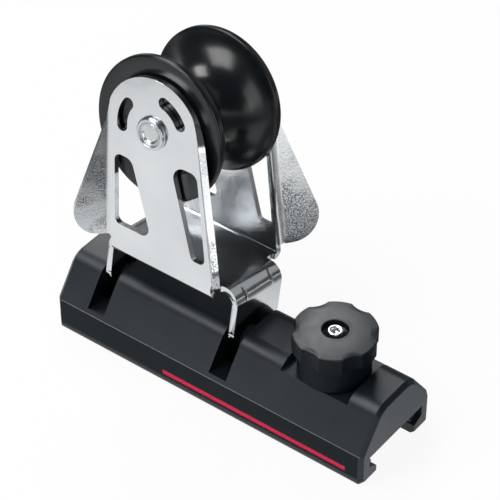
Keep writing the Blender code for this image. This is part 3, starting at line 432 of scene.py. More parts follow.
def arc_slot(middle):
    """A curved slot round the axle's hole: outer arc, round end, inner arc, round end."""
    low, high = middle - ARC_SPAN, middle + ARC_SPAN
    first, last = circle(AXLE, ARC_RADIUS, low, high, 1)
    return np.concatenate([
        circle(AXLE, ARC_RADIUS + ARC_HALF, low, high, ARC_STEPS),
        circle(last, ARC_HALF, high, high + math.pi, CAP_STEPS)[1:-1],
        circle(AXLE, ARC_RADIUS - ARC_HALF, high, low, ARC_STEPS),
        circle(first, ARC_HALF, low + math.pi, low + math.tau, CAP_STEPS)[1:-1]])


def window(corners):
    """A window of a cheek from its corners, each with its place, height and round."""
    radii = [radius for x, z, radius in corners]
    return soften([(x, cheek_v(z)) for x, z, radius in corners], radii, SHEET_STEPS)


def blank_loops():
    """Outline and holes of the flat blank: floor, two cheeks with wings, two legs."""
    right, left = WINGS
    drop = PIVOT_Z - SLOT_FLOOR - LEG_PLAY
    neck = leg_u((LEG_HALF * math.sin(abs(TILT)) - drop) / math.cos(TILT))
    notch, shelf = LEG_START - RELIEF, FOLD - RELIEF / 2.0
    leg = [(neck, LEG_NECK), (leg_u(LEG_SHOULDER), LEG_HALF), (notch, LEG_HALF), (notch, shelf)]
    leg_round = [0.0, LEG_ROUND, RELIEF_ROUND, RELIEF_ROUND / 2.0]
    start, stop = right.edge_angle, left.edge_angle % math.tau
    bow = [tuple(p) for p in circle(AXLE, ARCH, start, stop, BOW_STEPS)]
    points = leg + [(CHEEK_EDGE, shelf)] + [tuple(p) for p in right.corners[::-1]] + bow
    radii = leg_round + [0.0, 0.0, WING_FILLET, RIGHT_CORNER] + [0.0] * len(bow)
    points += [tuple(p) for p in left.corners] + [(-CHEEK_EDGE, shelf)] + [(-u, v) for u, v in leg[::-1]]
    radii += [LEFT_CORNER, WING_FILLET, 0.0, 0.0] + leg_round[::-1]
    lower = [(u, -v) for u, v in points[::-1]]
    foot = leg_u(0.0)
    angle = tangent((foot, 0.0), LEG_BOSS, (neck, LEG_NECK), -1)
    first = [tuple(p) for p in circle((foot, 0.0), LEG_BOSS, -angle, angle, BOSS_STEPS)]
    last = [tuple(p) for p in circle((-foot, 0.0), LEG_BOSS, math.pi - angle, math.pi + angle, BOSS_STEPS)]
    boss_round = [0.0] * (BOSS_STEPS + 1)
    rounds = boss_round + radii + boss_round + radii[::-1]
    outline = soften(first + points + last + lower, rounds, SHEET_STEPS)
    holes = [circle(AXLE, AXLE_HOLE, 0.0, math.tau, AXLE_HOLE_STEPS)[:-1]]
    holes += [arc_slot(ARC_LEAN - ARC_OFFSET), arc_slot(ARC_LEAN + ARC_OFFSET)]
    holes += [window(LEFT_WINDOW), window(RIGHT_WINDOW)]
    mirrored = [hole * (1.0, -1.0) for hole in holes]
    pins = [circle((side * foot, 0.0), PIN_HOLE, 0.0, math.tau, PIN_HOLE_STEPS)[:-1] for side in (-1, 1)]
    return [outline] + holes + mirrored + pins


def flat_fill(loops):
    """The loops as one filled flat mesh."""
    curve = bpy.data.curves.new("blank", "CURVE")
    curve.dimensions = "2D"
    curve.fill_mode = "BOTH"
    for loop in loops:
        spline = curve.splines.new("POLY")
        spline.points.add(len(loop) - 1)
        flat = np.column_stack([loop * MM, np.zeros(len(loop)), np.ones(len(loop))])
        spline.points.foreach_set("co", flat.ravel())
        spline.use_cyclic_u = True
    holder = bpy.data.objects.new("blank", curve)
    bpy.context.scene.collection.objects.link(holder)
    mesh = bpy.data.meshes.new_from_object(holder)
    bpy.data.objects.remove(holder, do_unlink=True)
    bpy.data.curves.remove(curve)
    return mesh


def sliced(work, chosen, point, normal):
    """Cut the chosen faces of the blank along a straight line."""
    parts = set(chosen)
    for face in chosen:
        parts.update(face.edges)
        parts.update(face.verts)
    bmesh.ops.bisect_plane(work, geom=list(parts), dist=ON_LINE * MM,
                           plane_co=(point[0] * MM, point[1] * MM, 0.0), plane_no=(normal[0], normal[1], 0.0))


def bent(ahead, radius, angle):
    """Run and rise past a bend's first edge: r sin a, r (1 - cos a) round it, then straight on."""
    turn = np.clip(ahead / radius, 0.0, angle)
    straight = np.maximum(0.0, ahead - radius * angle)
    run = np.where(ahead <= 0.0, ahead, radius * np.sin(turn) + straight * np.cos(turn))
    return run, radius * (1.0 - np.cos(turn)) + straight * np.sin(turn)


def folded(flat):
    """Blank places (u, v) to frame places: wings flare off the cheeks, cheeks stand up, legs hang down.

    A rib lifts the legs' bend outwards by RIB exp(-(v - place)^2 / width^2) along part of its turn.
    """
    u, v, side = flat[:, 0].copy(), np.abs(flat[:, 1]), np.where(flat[:, 1] >= 0.0, 1.0, -1.0)
    flare = np.zeros(len(u))
    for wing in WINGS:
        ahead = (u - wing.top[0]) * wing.out[0] + (v - wing.top[1]) * wing.out[1]
        ahead = np.where(v > ROOT, ahead, 0.0)
        run, rise = bent(ahead, WING_BEND, WING_ANGLE)
        off = np.where(ahead > 0.0, run - ahead, 0.0)
        u, v = u + wing.out[0] * off, v + wing.out[1] * off
        flare += np.where(ahead > 0.0, rise, 0.0)
    across, up = bent(v - FOLD, CHEEK_BEND, QUARTER)
    along, down = bent(np.abs(u) - LEG_START, LEG_BEND, QUARTER)
    standing = v > FOLD
    turn = np.clip((np.abs(u) - LEG_START) / LEG_BEND, 0.0, QUARTER)
    swell = np.sin(math.pi * (turn - RIB_FROM) / (RIB_TO - RIB_FROM))
    ridge = RIB * np.exp(-((v - RIB_PLACE) / RIB_WIDTH) ** 2) * np.clip(swell * RIB_RISE, 0.0, 1.0)
    along = along + ridge * np.sin(turn)
    down = down - ridge * np.cos(turn)
    x = np.where(standing, u, np.sign(u) * (LEG_START + along))
    y = np.where(standing, side * (FOLD + across + flare), flat[:, 1])
    z = np.where(standing, FLOOR + up, FLOOR - down)
    return np.stack([x, y, z], -1)


def slice_bends(work):
    """Cut the blank finely along the cheeks' folds, the legs' bends, their ribs and the wings' bends."""
    for place in np.linspace(FOLD, ROOT, CHEEK_CUTS):
        for side in (-1, 1):
            sliced(work, list(work.faces), (0.0, side * place), (0.0, 1.0))
    for place in np.linspace(LEG_START, LEG_END, LEG_CUTS):
        for side in (-1, 1):
            inner = [f for f in work.faces if abs(f.calc_center_median().y) < FOLD * MM]
            sliced(work, inner, (side * place, 0.0), (1.0, 0.0))
    for place in RIB_PLACE + RIB_WIDTH * np.linspace(-RIB_REACH, RIB_REACH, RIB_CUTS):
        for side in (-1, 1):
            bend = [f for f in work.faces if LEG_START * MM < abs(f.calc_center_median().x) < LEG_END * MM
                    and abs(f.calc_center_median().y) < LEG_HALF * MM]
            sliced(work, bend, (0.0, side * place), (0.0, 1.0))
    for wing in WINGS:
        for ahead in np.linspace(0.0, WING_BEND * WING_ANGLE, WING_CUTS):
            place = wing.top + wing.out * ahead
            for side in (-1, 1):
                cheek = [f for f in work.faces if side * f.calc_center_median().y > ROOT * MM]
                sliced(work, cheek, (place[0], side * place[1]), (wing.out[0], side * wing.out[1]))


def frame_mesh():
    """The sliced blank, folded by the formula above and leaned."""
    mesh = flat_fill(blank_loops())
    work = bmesh.new()
    work.from_mesh(mesh)
    bmesh.ops.remove_doubles(work, verts=work.verts, dist=SAME_POINT * MM)
    bmesh.ops.reverse_faces(work, faces=[face for face in work.faces if face.normal.z < 0.0])
    slice_bends(work)
    work.to_mesh(mesh)
    work.free()
    flat = np.empty(len(mesh.vertices) * 3)
    mesh.vertices.foreach_get("co", flat)
    flat = flat.reshape(-1, 3)[:, :2] / MM
    mesh.vertices.foreach_set("co", (leaned(folded(flat)) * MM).ravel())
    mesh.name = "sheave_frame_fine"
    mesh.update()
    mesh.shade_smooth()
    return mesh


# sheave, axle, knob and screws
def sheave_profile():
    """Closed (r, h) profile: rounded rims, a recessed hub and an hourglass groove.

    Across the groove the depth goes as sqrt(1 - k s^2), with s from 1 to -1, scaled to 0 at both rims.
    """
    s = np.linspace(1.0, -1.0, GROOVE_STEPS)
    low = math.sqrt(1.0 - HOLLOW)
    depth = (np.sqrt(1.0 - HOLLOW * s * s) - low) / (1.0 - low)
    lip = FLANGE - LIP_STEP
    groove = np.stack([lip - (lip - THROAT) * depth, (HALF - RIM) * s], -1)
    rim = soften([(HUB_RECESS, HALF), (FLANGE, HALF), (FLANGE, HALF - RIM + LIP_STEP),
                  (lip, HALF - RIM + LIP_FALL)], [0.0, RIM_ROUND, LIP_ROUND, 0.0], RIM_STEPS)
    hub = [(HUB_RECESS, -HUB_SHELF), (HUB_BORE, -HUB_SHELF), (HUB_BORE, HUB_SHELF), (HUB_RECESS, HUB_SHELF)]
    return np.concatenate([rim, groove, rim[::-1] * (1.0, -1.0), hub])


def axle_profile():
    """Open (r, h) profile of the axle: dish, lip, groove, rolled ring, thin flange and drilled stem."""
    seat, far = CHEEK + SHEET + HEAD_GAP, -CHEEK - SHEET
    radii, heights, rounds = np.array(AXLE_HEAD).T
    rows = np.stack([radii, seat + heights], -1)
    head = soften(np.concatenate([[(HEAD_RADIUS, seat)], rows]), [0.0, *rounds], HEAD_STEPS)[1:]
    flange = [(HEAD_RADIUS, seat + HEAD_RISE), (HEAD_RADIUS - HEAD_BREAK, seat)]
    stem = [(STEM, seat), (STEM, far), (THREAD, far), (THREAD, THREAD_END), (0.0, THREAD_END)]
    return np.concatenate([head[::-1], flange, stem])


def scallops(t):
    """Dents round the knob: R - (c cos a - sqrt(s^2 - c^2 sin^2 a)), a from the nearest scallop's middle."""
    step = math.tau / SCALLOPS
    away = np.mod(t - KNOB_TURN, step) - step / 2.0
    far = KNOB_RADIUS + SCALLOP - SCALLOP_DEPTH
    inside = SCALLOP ** 2 - (far * np.sin(away)) ** 2
    dent = KNOB_RADIUS - far * np.cos(away) + np.sqrt(np.maximum(inside, 0.0))
    return np.where(inside > 0.0, np.maximum(dent, 0.0), 0.0)


def knob_rings():
    """Closed rings of the knob: r = r0 - w dent(t), with w = 1 on the gripped side and 0 elsewhere."""
    under, foot, lid = KNOB_RIM - KNOB_DEPTH, POCKET_FLOOR + SKIRT_GAP, POCKET_FLOOR + SKIRT_LID
    a = np.linspace(0.0, QUARTER, KNOB_EDGE_STEPS)
    edge = np.stack([KNOB_RADIUS - KNOB_EDGE + KNOB_EDGE * np.sin(a),
                     KNOB_RIM - KNOB_EDGE + KNOB_EDGE * np.cos(a)], -1)
    base = np.stack([KNOB_RADIUS - KNOB_FOOT + KNOB_FOOT * np.cos(a),
                     under + KNOB_FOOT - KNOB_FOOT * np.sin(a)], -1)
    reach = np.linspace(DOME_FROM, DOME_TO, DOME_STEPS)
    fall = (KNOB_TOP - KNOB_RIM) * (reach / (KNOB_RADIUS - KNOB_EDGE)) ** DOME_POWER
    dome = np.stack([reach, KNOB_TOP - fall], -1)
    recess = [(KNOB_BORE, KNOB_SEAT), (RECESS - RECESS_EASE, KNOB_SEAT), (RECESS, KNOB_SEAT + RECESS_EASE)]
    recess += [(radius, KNOB_TOP - depth) for radius, depth in RECESS_MOUTH]
    skirt = [(SKIRT + SKIRT_EASE, under), (SKIRT, under - SKIRT_EASE), (SKIRT, foot + SKIRT_ROUND),
             (SKIRT - SKIRT_ROUND, foot), (SKIRT_BORE + SKIRT_EASE, foot), (SKIRT_BORE, foot + SKIRT_EASE),
             (SKIRT_BORE, lid), (PLUNGER_HOLE, lid), (PLUNGER_HOLE, KNOB_SEAT - KNOB_PLATE),
             (KNOB_BORE, KNOB_SEAT - KNOB_PLATE)]
    parts = ((recess, 0.0), (dome, 0.0), (edge, 1.0), (base, 1.0), (skirt, 0.0))
    rows = np.concatenate([part for part, grip in parts])
    w = np.concatenate([np.full(len(part), grip) for part, grip in parts])[:, None]
    t = np.linspace(0.0, math.tau, KNOB_STEPS, endpoint=False)
    r = rows[:, :1] - w * scallops(t)
    grid = np.stack([KNOB_X + r * np.cos(t), r * np.sin(t), rows[:, 1:] + 0.0 * t], -1)
    return grid, grid_faces(len(rows), len(t), True, True)


def socket_screw_rings(radius, height, key, depth, shank, length):
    """A screw with a six-sided socket, whose hexagon's radius is key cos 30 / cos(t mod 60 - 30)."""
    t = np.linspace(0.0, math.tau, SCREW_STEPS, endpoint=False)
    hexagon = math.cos(math.pi / 6.0) / np.cos((t % (math.pi / 3.0)) - math.pi / 6.0)
    socket = [(0.0, height - depth - KEY_TIP), (key * KEY_SHARE, height - depth), (key, height - KEY_EASE),
              (key + KEY_FLARE, height)]
    outside = [(radius - HEAD_CHAMFER, height), (radius - HEAD_CORNER, height - HEAD_CORNER),
               (radius, height - HEAD_CHAMFER), (radius, 0.0), (shank, 0.0), (shank, -length), (0.0, -length)]
    rows = np.array(socket + outside)
    w = np.array([1.0] * len(socket) + [0.0] * len(outside))[:, None]
    r = rows[:, :1] * (w * hexagon + 1.0 - w)
    grid = np.stack([r * np.cos(t), r * np.sin(t), rows[:, 1:] + 0.0 * t], -1)
    return grid, grid_faces(len(rows), len(t), False, True)


# materials
class Paint:
    """A material of nodes around one Principled shader, with short names for its wiring."""

    def __init__(self, name, colour, roughness, metallic=0.0):
        self.material = bpy.data.materials.new(name)
        self.material.use_nodes = True
        self.tree = self.material.node_tree
        self.shader = self.tree.nodes["Principled BSDF"]
        self.shader.inputs["Base Color"].default_value = (*colour, 1.0)
        self.shader.inputs["Roughness"].default_value = roughness
        self.shader.inputs["Metallic"].default_value = metallic
        self.place = self.tree.nodes.new("ShaderNodeTexCoord").outputs["Object"]

    def node(self, kind, **values):
        """A new node with some of its settings."""
        made = self.tree.nodes.new(kind)
        for key, value in values.items():
            setattr(made, key, value)
        return made

    def link(self, source, target):
        """Wire an output to an input."""
        self.tree.links.new(source, target)

    def noise(self, scale, detail=2.0, stretch=(1.0, 1.0, 1.0), roughness=0.5):
        """Noise per metre of Object coordinates, stretched along axes."""
        mapping = self.node("ShaderNodeMapping")
        mapping.inputs["Scale"].default_value = stretch
        self.link(self.place, mapping.inputs["Vector"])
        noise = self.node("ShaderNodeTexNoise")
        noise.inputs["Scale"].default_value = scale
        noise.inputs["Detail"].default_value = detail
        noise.inputs["Roughness"].default_value = roughness
        self.link(mapping.outputs["Vector"], noise.inputs["Vector"])
        return noise.outputs["Fac"]

    def spread(self, value, low, high, start=0.3, stop=0.7):
        """Map a value between two ends, clamped."""
        span = self.node("ShaderNodeMapRange")
        span.inputs["From Min"].default_value = start
        span.inputs["From Max"].default_value = stop
        span.inputs["To Min"].default_value = low
        span.inputs["To Max"].default_value = high
        self.link(value, span.inputs["Value"])
        return span.outputs["Result"]

    def sum(self, first, second, operation="ADD"):
        """Two values or sockets joined by a sum, or by another operation."""
        join = self.node("ShaderNodeMath", operation=operation)
        for socket, value in zip(join.inputs, (first, second)):
            if isinstance(value, (int, float)):
                socket.default_value = value
            else:
                self.link(value, socket)
        return join.outputs["Value"]

    def blend(self, share, first, second):
        """Colour mix of two colours or sockets by a share."""
        mix = self.node("ShaderNodeMix", data_type="RGBA")
        self.link(share, mix.inputs["Factor"])
        for socket, value in ((mix.inputs["A"], first), (mix.inputs["B"], second)):
            if isinstance(value, tuple):
                socket.default_value = (*value, 1.0)
            else:
                self.link(value, socket)
        return mix.outputs["Result"]

    def bump(self, height, distance, over=None):
        """A bump of a height field, distance in millimetres, laid over another bump."""
        bump = self.node("ShaderNodeBump")
        bump.inputs["Distance"].default_value = distance * MM
        bump.inputs["Strength"].default_value = 1.0
        self.link(height, bump.inputs["Height"])
        if over is not None:
            self.link(over, bump.inputs["Normal"])
        self.link(bump.outputs["Normal"], self.shader.inputs["Normal"])
        return bump.outputs["Normal"]

    def axes(self):
        """The sockets X, Y and Z of the place."""
        split = self.node("ShaderNodeSeparateXYZ")
        self.link(self.place, split.inputs["Vector"])
        return split.outputs

    def band(self, axis, low, high, soft=0.05):
        """1 between two places along an axis in millimetres, 0 outside, with a soft edge."""
        value = self.axes()[axis]
        rise = self.spread(value, 0.0, 1.0, (low - soft) * MM, (low + soft) * MM)
        fall = self.spread(value, 1.0, 0.0, (high - soft) * MM, (high + soft) * MM)
        return self.sum(rise, fall, "MULTIPLY")

    def both_bands(self, axis, near, far, soft=0.05):
        """A band between two places and its mirror image beyond the middle."""
        return self.sum(self.band(axis, -far, -near, soft), self.band(axis, near, far, soft))


def anodised(name, tints, gloss, shine, striped=False):
    """Black anodising: drawn grain along X, a faint cloud, sawn ends duller and painted lighter for the light
    they catch, and a painted highlight along the creases as a lighter, metallic line.

    A striped side has its red stripe in place of the last two. The tints and the gloss are the two
    ends between which the cloud moves colour and roughness.
    """
    paint = Paint(name, tints[0], gloss[0])
    paint.shader.inputs["Specular IOR Level"].default_value = shine
    grain = paint.noise(900.0, 3.0, stretch=DRAWN_ALONG)
    cloud = paint.noise(60.0, 3.0)
    colour = paint.blend(paint.spread(cloud, 0.0, 1.0), *tints)
    rough = paint.spread(cloud, *gloss)
    if striped:
        height, run = paint.band("Z", *STRIPE_Z, soft=0.1), paint.band("X", *STRIPE_X, soft=0.15)
        stripe = paint.sum(height, run, "MULTIPLY")
        colour = paint.blend(stripe, colour, STRIPE_RED)
    else:
        # the sawn ends are duller, and painted lighter as the light that falls on them
        ends = paint.both_bands("X", *SAWN_AND_LIT_X, soft=0.1)
        colour = paint.blend(ends, colour, LIT_END_GREY)
        rough = paint.sum(rough, paint.sum(ends, SAWN_DULL, "MULTIPLY"))
        # painted highlight: a thin lighter, metallic line along each side crease stands in for its highlight
        crease_highlight = paint.sum(paint.both_bands("Y", *CREASE_HIGHLIGHT_Y), paint.band("Z", *CREASE_HIGHLIGHT_Z, soft=0.02), "MULTIPLY")
        colour = paint.blend(crease_highlight, colour, CREASE_HIGHLIGHT_GREY)
        paint.link(paint.sum(crease_highlight, CREASE_HIGHLIGHT_METAL, "MULTIPLY"), paint.shader.inputs["Metallic"])
    paint.link(colour, paint.shader.inputs["Base Color"])
    paint.link(rough, paint.shader.inputs["Roughness"])
    paint.bump(paint.sum(grain, paint.sum(paint.noise(2600.0, 1.0), 0.5, "MULTIPLY")), 0.012)
    return paint.material


def stainless(name, grained):
    """Polished sheet: faint clouds in the polish and upright die marks that show in the bends.

    The wings, which no die presses flat, keep the barrel's grain: small dull pits in a brighter skin,
    thick along a wavy slanting line and thin away from it.
    """
    paint = Paint(name, (0.68, 0.70, 0.72), 0.13, 1.0)
    upright = paint.node("ShaderNodeMapping")
    upright.inputs["Rotation"].default_value = (-TILT, 0.0, 0.0)
    paint.link(paint.place, upright.inputs["Vector"])
    paint.place = upright.outputs["Vector"]
    cloud = paint.noise(45.0, 3.0)
    speck = paint.noise(1500.0, 3.0, roughness=0.65)
    marks = paint.noise(1700.0, 2.0, stretch=PRESSED_UP)
    colour = paint.blend(paint.spread(cloud, 0.0, 1.0), *STEEL_TINTS)
    rough = paint.sum(paint.spread(cloud, *STEEL_GLOSS), paint.spread(speck, -0.02, 0.05))
    if grained:
        place = paint.axes()
        wavy = paint.sum(paint.sum(paint.noise(90.0, 1.0), 0.5, "SUBTRACT"), GRAIN_WAVE * MM, "MULTIPLY")
        level = paint.sum(place["Z"], paint.sum(place["X"], GRAIN_SLANT, "MULTIPLY"))
        away = paint.sum(paint.sum(paint.sum(level, wavy), GRAIN_LEVEL * MM, "SUBTRACT"), 0.0, "ABSOLUTE")
        patch = paint.spread(away, 1.0, GRAIN_THIN, GRAIN_CORE * GRAIN_HALF * MM, GRAIN_HALF * MM)
        pits = paint.sum(paint.spread(paint.noise(2800.0, 1.0), 1.0, 0.0, *PIT_EDGE), patch, "MULTIPLY")
        colour = paint.blend(pits, colour, PIT_GREY)
        rough = paint.sum(rough, paint.sum(pits, PIT_DULL, "MULTIPLY"))
    paint.link(colour, paint.shader.inputs["Base Color"])
    paint.link(rough, paint.shader.inputs["Roughness"])
    first = paint.bump(paint.noise(120.0, 1.0), 0.04)
    second = paint.bump(marks, 0.01, first)
    paint.bump(speck, 0.03 if grained else 0.012, second)
    return paint.material


def turned_steel():
    """Machined bright steel with fine tool marks."""
    paint = Paint("turned_steel", (0.62, 0.64, 0.655), 0.27, 1.0)
    marks = paint.noise(1500.0, 2.0)
    paint.link(paint.spread(marks, 0.20, 0.28), paint.shader.inputs["Roughness"])
    paint.bump(marks, 0.003)
    return paint.material


def bronze():
    """Plain bronze with an uneven gloss and a fine skin."""
    paint = Paint("bronze", (0.48, 0.31, 0.12), 0.32, 1.0)
    paint.link(paint.spread(paint.noise(400.0, 3.0), 0.26, 0.42), paint.shader.inputs["Roughness"])
    paint.bump(paint.noise(1200.0, 2.0), 0.01)
    return paint.material


def moulded(name, tints, gloss, grain, depth, shine=0.5):
    """A moulding: a faint cloud in its colour, uneven gloss and a fine skin of a grain and a depth."""
    paint = Paint(name, tints[0], gloss[0])
    paint.shader.inputs["Specular IOR Level"].default_value = shine
    cloud = paint.noise(70.0, 3.0)
    paint.link(paint.blend(paint.spread(cloud, 0.0, 1.0), *tints), paint.shader.inputs["Base Color"])
    paint.link(paint.spread(paint.noise(300.0, 3.0), *gloss), paint.shader.inputs["Roughness"])
    paint.bump(paint.noise(grain, 2.0), depth)
    return paint.material


BODY = anodised("black_anodised", tints=((0.007, 0.012, 0.017), (0.011, 0.017, 0.024)),
                gloss=(0.34, 0.42), shine=0.36)
STRIPED = anodised("striped_side", tints=((0.003, 0.006, 0.009), (0.005, 0.009, 0.012)),
                   gloss=(0.40, 0.46), shine=0.08, striped=True)
# painted shade: the milled slots get a near black so that they read as shaded
SLOT_SHADE = anodised("shaded_recess", tints=((0.003, 0.004, 0.006), (0.005, 0.007, 0.009)),
                  gloss=(0.30, 0.36), shine=0.15)
STEEL = stainless("polished_stainless", grained=False)
GRAINED = stainless("barrelled_stainless", grained=True)
TURNED = turned_steel()
SHEAVE = moulded("sheave_black", tints=((0.003, 0.0045, 0.006), (0.005, 0.007, 0.009)),
                 gloss=(0.22, 0.26), grain=500.0, depth=0.004)
GRIP = moulded("knob_plastic", tints=((0.010, 0.014, 0.018), (0.016, 0.021, 0.026)),
               gloss=(0.31, 0.37), grain=2600.0, depth=0.025)
# painted shade: the knob's upright sides get a darker colour
KNOB_SIDE_SHADE = moulded("knob_side_shade", tints=((0.004, 0.007, 0.010), (0.007, 0.011, 0.015)),
                    gloss=(0.45, 0.52), grain=2600.0, depth=0.02, shine=0.1)
LINER = moulded("liner_plastic", tints=((0.055, 0.06, 0.066), (0.075, 0.08, 0.088)),
                gloss=(0.45, 0.55), grain=1800.0, depth=0.02)
BEARING = moulded("bearing_plastic", tints=((0.42, 0.29, 0.08), (0.55, 0.39, 0.12)),
                  gloss=(0.38, 0.5), grain=900.0, depth=0.01)
BRONZE = bronze()

FINISH = {
    "black_anodised": BODY, "polished_stainless": STEEL, "turned_steel": TURNED, "moulded_black": SHEAVE,
    "knob_plastic": GRIP, "liner_plastic": LINER, "bearing_plastic": BEARING, "bronze": BRONZE}


# pieces
def finish_solids():
    """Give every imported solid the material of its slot."""
    for row in frame["record"]["subparts"]:
        solid = frame["nodes"][row["node"]]
        solid.data.materials.clear()
        solid.data.materials.append(FINISH[row["material_slot"]])


def build_body():
    """The extruded body, milled for the legs, the knob and the pins."""
    item = placed("body_extrusion", body_mesh(), BODY, "car", "car_body")
    tools = []
    for side in (-1, 1):
        x = FRAME_X + side * LEG_SPAN / 2.0
        left, right = x - SLOT_WIDTH / 2.0, x + SLOT_WIDTH / 2.0
        tools.append(prism(f"slot_{side + 1}", (left, -OVERRUN, SLOT_FLOOR), (right, OVERRUN, TOOL_TOP)))
        tools.append(prism(f"well_{side + 1}", (left, -WELL_WIDTH / 2.0, WELL_FLOOR),
                           (right, WELL_WIDTH / 2.0, TOOL_TOP)))
    tools.append(prism("pocket", (KNOB_X - POCKET / 2.0, -OVERRUN, POCKET_FLOOR),
                       (KNOB_X + POCKET / 2.0, OVERRUN, TOOL_TOP)))
    tools.append(drill("sleeve_hole", SLEEVE_HOLE, "Z", (KNOB_X, 0.0, 0.0), *SLEEVE_CUT))
    pin_stop = FRAME_X + LEG_SPAN / 2.0 + SLOT_WIDTH / 2.0 + PIN_SEAT
    tools.append(drill("pin_hole", PIN_HOLE, "X", (0.0, 0.0, PIVOT_Z), PIN_START, pin_stop))
    plug_stop = -LENGTH / 2.0 + PLUG_DEPTH
    tools.append(drill("plug_hole", PLUG_HOLE, "X", (0.0, 0.0, PIVOT_Z), plug_stop - OVERRUN, plug_stop))
    milled(item, tools)
    mesh = broken_edges(item, BODY_EDGE, segments=2, angle=35.0)
    mesh.materials.append(STRIPED)
    mesh.materials.append(SLOT_SHADE)
    (x, y, z), normal = face_places(mesh)
    side = (normal[:, 1] < -UPRIGHT) & (y < -WIDTH / 2.0 + SIDE_SKIN) & (z > STRIPED_FROM)
    slots = np.minimum(np.abs(x - FRAME_X - LEG_SPAN / 2.0), np.abs(x - FRAME_X + LEG_SPAN / 2.0))
    # the milled slots' faces take the darker material, painted shade
    shaded_slot_faces = (slots < SLOT_WIDTH / 2.0 + SLOT_SKIN) & (z > SHADED_SLOT_FROM) & (np.abs(y) < WIDTH / 2.0)
    painted(mesh, np.select([side, shaded_slot_faces], [1, 2], 0))


def build_frame():
    """The folded frame with its wall thickness and rolled edges; its wings have the grained finish."""
    item = placed("folded_frame", frame_mesh(), STEEL, "frame", "sheave_frame")
    wall = item.modifiers.new("wall", "SOLIDIFY")
    wall.thickness = SHEET * MM
    wall.offset = -1.0
    wall.use_even_offset = True
    wall.use_quality_normals = True
    baked(item)
    mesh = broken_edges(item, SHEET_EDGE, segments=3, angle=50.0)
    mesh.materials.append(GRAINED)
    y, z = face_places(mesh)[0][1:]
    across = np.abs(y * math.cos(TILT) + (z - PIVOT_Z) * math.sin(TILT))
    painted(mesh, across > CHEEK + SHEET + GRAIN_FROM)


def build_sheave():
    """The hourglass sheave on its axle."""
    grid, faces = turned(sheave_profile(), SHEAVE_STEPS, True)
    mesh = shell("sheave_fine", on_axle(grid, -1), faces)
    levelled(placed("hourglass_sheave", mesh, SHEAVE, "sheave", "sheave"))


def build_axle():
    """The axle with its stepped, dished head, and the socket screw in its far end."""
    grid, faces = turned(axle_profile(), AXLE_STEPS, False)
    mesh = shell("axle_fine", on_axle(grid, -1), faces)
    placed("axle_and_head", mesh, TURNED, "frame", "axle")
    grid, faces = socket_screw_rings(**AXLE_SCREW)
    seat = CHEEK + SHEET + HEAD_GAP + WASHER + HEAD_GAP
    mesh = shell("axle_screw_fine", on_axle(grid + (0.0, 0.0, seat), 1), faces)
    placed("axle_socket_screw", mesh, TURNED, "frame", "axle_screw")


def build_knob():
    """Lobed knob, duller on its upright sides and painted darker there as shade, and the socket screw in its
    top.
    """
    grid, faces = knob_rings()
    mesh = shell("knob_fine", grid, faces)
    mesh = levelled(placed("lobed_knob", mesh, GRIP, "stop_pin", "knob"))
    mesh.materials.append(KNOB_SIDE_SHADE)
    # the upright faces take the darker material, painted shade
    normal = face_places(mesh)[1]
    painted(mesh, np.abs(normal[:, 2]) < SIDE_SHADE_LIMIT)
    grid, faces = socket_screw_rings(**KNOB_SCREW)
    mesh = shell("knob_screw_fine", grid + (KNOB_X, 0.0, KNOB_SEAT + KNOB_SCREW_GAP), faces)
    placed("knob_socket_screw", mesh, TURNED, "stop_pin", "knob_screw")


finish_solids()
build_body()
build_frame()
build_sheave()
build_axle()
build_knob()

# stage: the lamps' rows are name, direction from the car, distance, size and brightness
LAMP_AIM = Vector((0.0, 0.0, 0.05))
LAMPS = (
    ("main_box", (-0.34, -0.36, 0.87), 1.1, 0.72, 4.6),
    ("low_front_box", (0.62, -0.70, 0.34), 1.0, 0.6, 1.4),
    ("back_left_box", (-0.50, 0.52, 0.69), 1.1, 0.5, 4.8),
    ("back_right_box", (0.25, 0.84, 0.36), 1.2, 0.8, 0.25),
    ("edge_box", (-0.46, -0.88, 0.10), 1.0, 0.2, 8.0),
    ("right_box", (0.87, -0.49, 0.06), 1.3, 0.5, 0.8))
FLOOR_HALF, FLOOR_WHITE, FLOOR_ROUGH, FLOOR_GLOW = 2500.0, (0.9, 0.9, 0.9), 0.9, 0.92
PATCH, PATCH_HALF = (-0.06, -0.185), (0.20, 0.25)
FLOOR_FALL, FLOOR_RISE = (0.95, 1.25), (2.4, 5.2)
FLOOR_DIM, FLOOR_LIFT = 0.14, 0.86
SKY_WHITE, SKY_DIM = (0.88, 0.95, 1.0, 1.0), 0.09
VIEW_ROUND, VIEW_UP = math.radians(37.11), math.radians(40.85)
VIEW_AWAY, VIEW_SHIFT = 907.58, (-4.10, -46.84)
FOCAL_PIXELS, PHOTO_PIXELS, SENSOR, CLIP_START = 2363.4, 500.0, 36.0, 0.01


